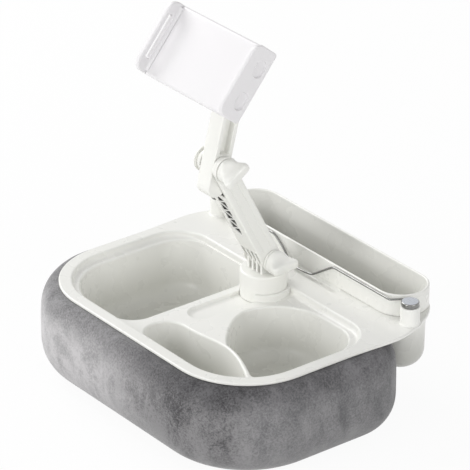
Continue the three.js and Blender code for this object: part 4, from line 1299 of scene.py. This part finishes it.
def knob_skin(turn):
    """A wing knob: sections (x, a, b) from a round hub to a flat wing, each |y/a|^n + |z/b|^n = 1 with n from
    2 to 4, the wing's tip dished in the middle and the whole turned about its bolt."""
    hub = [(0, 4, 4), (0, 9.6, 9.6), (0.2, 11.2, 11.2), (0.9, 11.7, 11.7), (4.0, 11.7, 11.7)]
    waist = [(5.6, 11.6, 11.3), (7.0, 11.4, 9.4), (8.6, 11.6, 7.2), (10.8, 12.8, 5.8), (13.2, 14.1, 5.1)]
    wing = [(15.6, 14.5, 4.9), (17.4, 14.1, 4.7), (18.6, 12.8, 4.0), (19.2, 10.4, 2.8), (19.3, 5.0, 1.4)]
    x, a, b = np.array(hub + waist + wing).T[..., None]
    angle = np.linspace(0, 2 * np.pi, knob_sides, endpoint=False)
    power = 2 / (2 + 2 * np.clip((x - wing_start) / wing_start, 0, 1))
    y = np.sign(np.cos(angle)) * np.abs(np.cos(angle)) ** power * a
    z = np.sign(np.sin(angle)) * np.abs(np.sin(angle)) ** power * b
    x = x - wing_dish * np.clip((x - dish_start) / dish_run, 0, 1) * (1 - (y / wing_half) ** 2) + knob_seat
    c, s = math.cos(math.radians(turn)), math.sin(math.radians(turn))
    rings = np.stack([x, y * c - z * s, y * s + z * c], -1)
    ends = [np.repeat(rings[k].mean(0)[None], knob_sides, 0)[None] for k in (0, -1)]
    return Skin().strip(np.concatenate([ends[0], rings, ends[1]]))


def make_knobs():
    """The two wing knobs, smoothed."""
    for name, pivot, turn in (("base", base_pivot, base_wing_turn), ("elbow", elbow_pivot, elbow_wing_turn)):
        item = solid(name + "_knob", knob_skin(turn).moved(lambda p, at=pivot: p + at))
        modify(item, "SUBSURF", levels=2, render_levels=2)
        dress(item, arm_plastic, name + "_knob", "arm_white", name + "_wing_knob", crease=80)


# Clamp

def jaw_loop():
    """A jaw's side: large rounds at its front, small ones at its back."""
    return level_box(jaw_front, clamp_back, clamp_half_height,
                 (jaw_corner, clamp_corner, clamp_corner, jaw_corner), 4)


def make_clamp():
    """A shallow shell with a rounded right jaw, two finger dimples in the jaw's side, open at its back and,
    for the sliding jaw's runner, at its left."""
    side = level_box(plate_front, clamp_back, clamp_half_height, clamp_corner, 4)
    shell = plate(side, body_left, clamp_half - 2, clamp_round)
    dimples = [(box_loop(dimple_front, z - dimple_half, dimple_back, z + dimple_half, dimple_corner, 2),
                *dimple_bends) for z in (-dimple_z, dimple_z)]
    jaw = plate(jaw_loop(), jaw_inner, clamp_half, jaw_round, pockets=dimples)
    cavity = plate(level_box(plate_front + plate_wall, clamp_back + 2, cavity_half, 1.5), cavity_left,
                   cavity_right, 0.3)
    gate = plate(level_box(gate_front, gate_back, gate_half, 1), runner_left, gate_right, 0.1)
    item = fused("clamp_shell", [shell, jaw], [cavity, gate], on_clamp)
    dress(item, clamp_plastic, "clamp", "clamp_white", "clamp_body")


def make_cover():
    """The rear cover: a plate with rounded corners and a clear hole for the stud."""
    outline = level_box(cavity_left + cover_gap, cavity_right - cover_gap, cavity_half - cover_gap, 2.5)
    hole = closed(arc((0, 0), stud_hole, 0, 360, 49)[:-1], step=4)
    skin = slab(outline, -clamp_back, cover_thick - clamp_back, 0.5, holes=[hole])
    item = solid("rear_plate", skin.moved(facing_front).moved(on_clamp))
    dress(item, clamp_plastic, "clamp", "clamp_white", "clamp_rear_cover")


def make_jaw():
    """The sliding jaw: a rounded plate with a long see-through slot, a cove at its foot that slides along the
    shell's front, and a runner that reaches into the shell."""
    slot = level_box(slot_front, slot_back, slot_half, slot_corner, 3)
    jaw = plate(jaw_loop(), -clamp_half, -jaw_inner, jaw_round, holes=[slot])
    runner = plate(level_box(gate_front + runner_gap, gate_back - runner_gap, gate_half - runner_gap, 1),
                   runner_left, runner_right, 0.3)
    foot = plate_front - jaw_run_gap
    bend = arc((jaw_cove - jaw_inner, foot - jaw_toe - jaw_cove), jaw_cove, 180, 90, 12)
    back = [(bend[-1, 0], foot), (-jaw_inner - 1, foot), (-jaw_inner - 1, bend[0, 1])]
    cove = slab(closed(bend, back, step=2), -clamp_half_height + 3, clamp_half_height - 3, 0.1)
    item = fused("left_jaw", [jaw, cove, runner], place=on_clamp)
    dress(item, clamp_plastic, "jaw", "clamp_white", "sliding_jaw")


def make_ring():
    """The ball's lock ring, fluted for grip."""
    profile = looped_profile([(ring_inner, 0, 0.2), (ring_outer, 0, 0.7), (ring_outer, ring_length, 0.7),
                              (ring_inner, ring_length, 0.2)])
    skin = lathe(profile, 240, ring_flutes, ring_flute_depth)
    item = solid("lock_ring", skin.moved(facing_front).moved(on_clamp))
    dress(item, arm_plastic, "upper_link", "arm_white", "ball_lock_ring")


# Stage

def make_camera():
    """A camera at the photograph's viewing angle, which looks at the target from its distance."""
    aim = np.array([math.sin(view_azimuth) * math.cos(view_elevation),
                    -math.cos(view_azimuth) * math.cos(view_elevation), math.sin(view_elevation)])
    camera = in_scene("camera", bpy.data.cameras.new("camera"))
    give(camera.data, {"lens": view_lens, "sensor_width": 36, "clip_end": 20})
    camera.location = view_target + view_distance * aim
    camera.rotation_euler = (math.pi / 2 - view_elevation, 0, view_azimuth)
    bpy.context.scene.camera = camera
    bpy.context.scene.view_settings.view_transform = "Standard"


def seen_rays(tree):
    """1 for the rays that look at a surround directly, in a mirror or through glass."""
    rays = add_node(tree, "LightPath", {}).outputs
    total = rays["Is Camera Ray"]
    for name in ("Is Glossy Ray", "Is Transmission Ray"):
        total = add_node(tree, "Math", {0: total, 1: rays[name]}, operation="MAXIMUM").outputs["Value"]
    return total


def choose(tree, share, plain, seen, output):
    """Gives the output a mix of two shaders: the plain one, and a share of the one that is seen."""
    mixed = add_node(tree, "MixShader", {"Fac": share, 1: plain.outputs[0], 2: seen.outputs[0]})
    feed(tree.nodes[output], {"Surface": mixed.outputs[0]})


def make_surround():
    """A white surround that lights the object more softly than it looks."""
    world = bpy.data.worlds.new("surround")
    bpy.context.scene.world = world
    world.use_nodes = True
    tree = world.node_tree
    room = tree.nodes["Background"]
    feed(room, {"Color": (1, 1, 1, 1), "Strength": surround_strength})
    seen = add_node(tree, "Background", {"Color": (1, 1, 1, 1)})
    choose(tree, seen_rays(tree), room, seen, "World Output")


def make_floor():
    """A wide white floor that keeps a soft shadow."""
    mesh = bpy.data.meshes.new("floor")
    corners = floor_reach * np.array([(-1, -1, 0), (1, -1, 0), (1, 1, 0), (-1, 1, 0)])
    mesh.from_pydata(corners.tolist(), [], [(0, 1, 2, 3)])
    floor = in_scene("floor", mesh)
    white = bpy.data.materials.new("floor_white")
    white.use_nodes = True
    tree = white.node_tree
    matt = tree.nodes["Principled BSDF"]
    feed(matt, {"Base Color": (0.9, 0.9, 0.9, 1), "Roughness": 1, "Specular IOR Level": 0})
    share = add_node(tree, "Math", {0: seen_rays(tree), 1: floor_glow}, operation="MULTIPLY")
    choose(tree, share.outputs["Value"], matt, add_node(tree, "Emission", {}), "Material Output")
    mesh.materials.append(white)


def make_lamps():
    """Plain soft lamps, each turned to the camera's target."""
    for name, (place, power) in lamps.items():
        lamp = in_scene(name, bpy.data.lights.new(name, "AREA"))
        give(lamp.data, {"size": lamp_side, "energy": power})
        lamp.location = place
        x, y, z = np.array(place) - view_target
        lamp.rotation_euler = (math.atan2(math.hypot(x, y), z), 0, math.atan2(x, -y))


make_camera()
make_surround()
make_floor()
make_lamps()
make_cushion()
make_foam()
make_tray()
make_bin()
make_caps()
make_wire()
make_swivel()
make_lower_arm()
make_upper_arm()
make_pivots()
make_knobs()
make_clamp()
make_cover()
make_jaw()
make_ring()

# Carried-over nodes
steel_nodes = ("swivel_screw", "base_bolt", "elbow_bolt", "ball_stud", "stud_nut", "cover_screw_upper",
               "cover_screw_lower", "guide_rod_upper", "guide_rod_lower", "clamp_spring_upper",
               "clamp_spring_lower")
for node, material in {"swivel_retainer": arm_plastic, **dict.fromkeys(steel_nodes, steel)}.items():
    node_mesh = frame["nodes"][node].data
    node_mesh.materials.clear()
    node_mesh.materials.append(material)
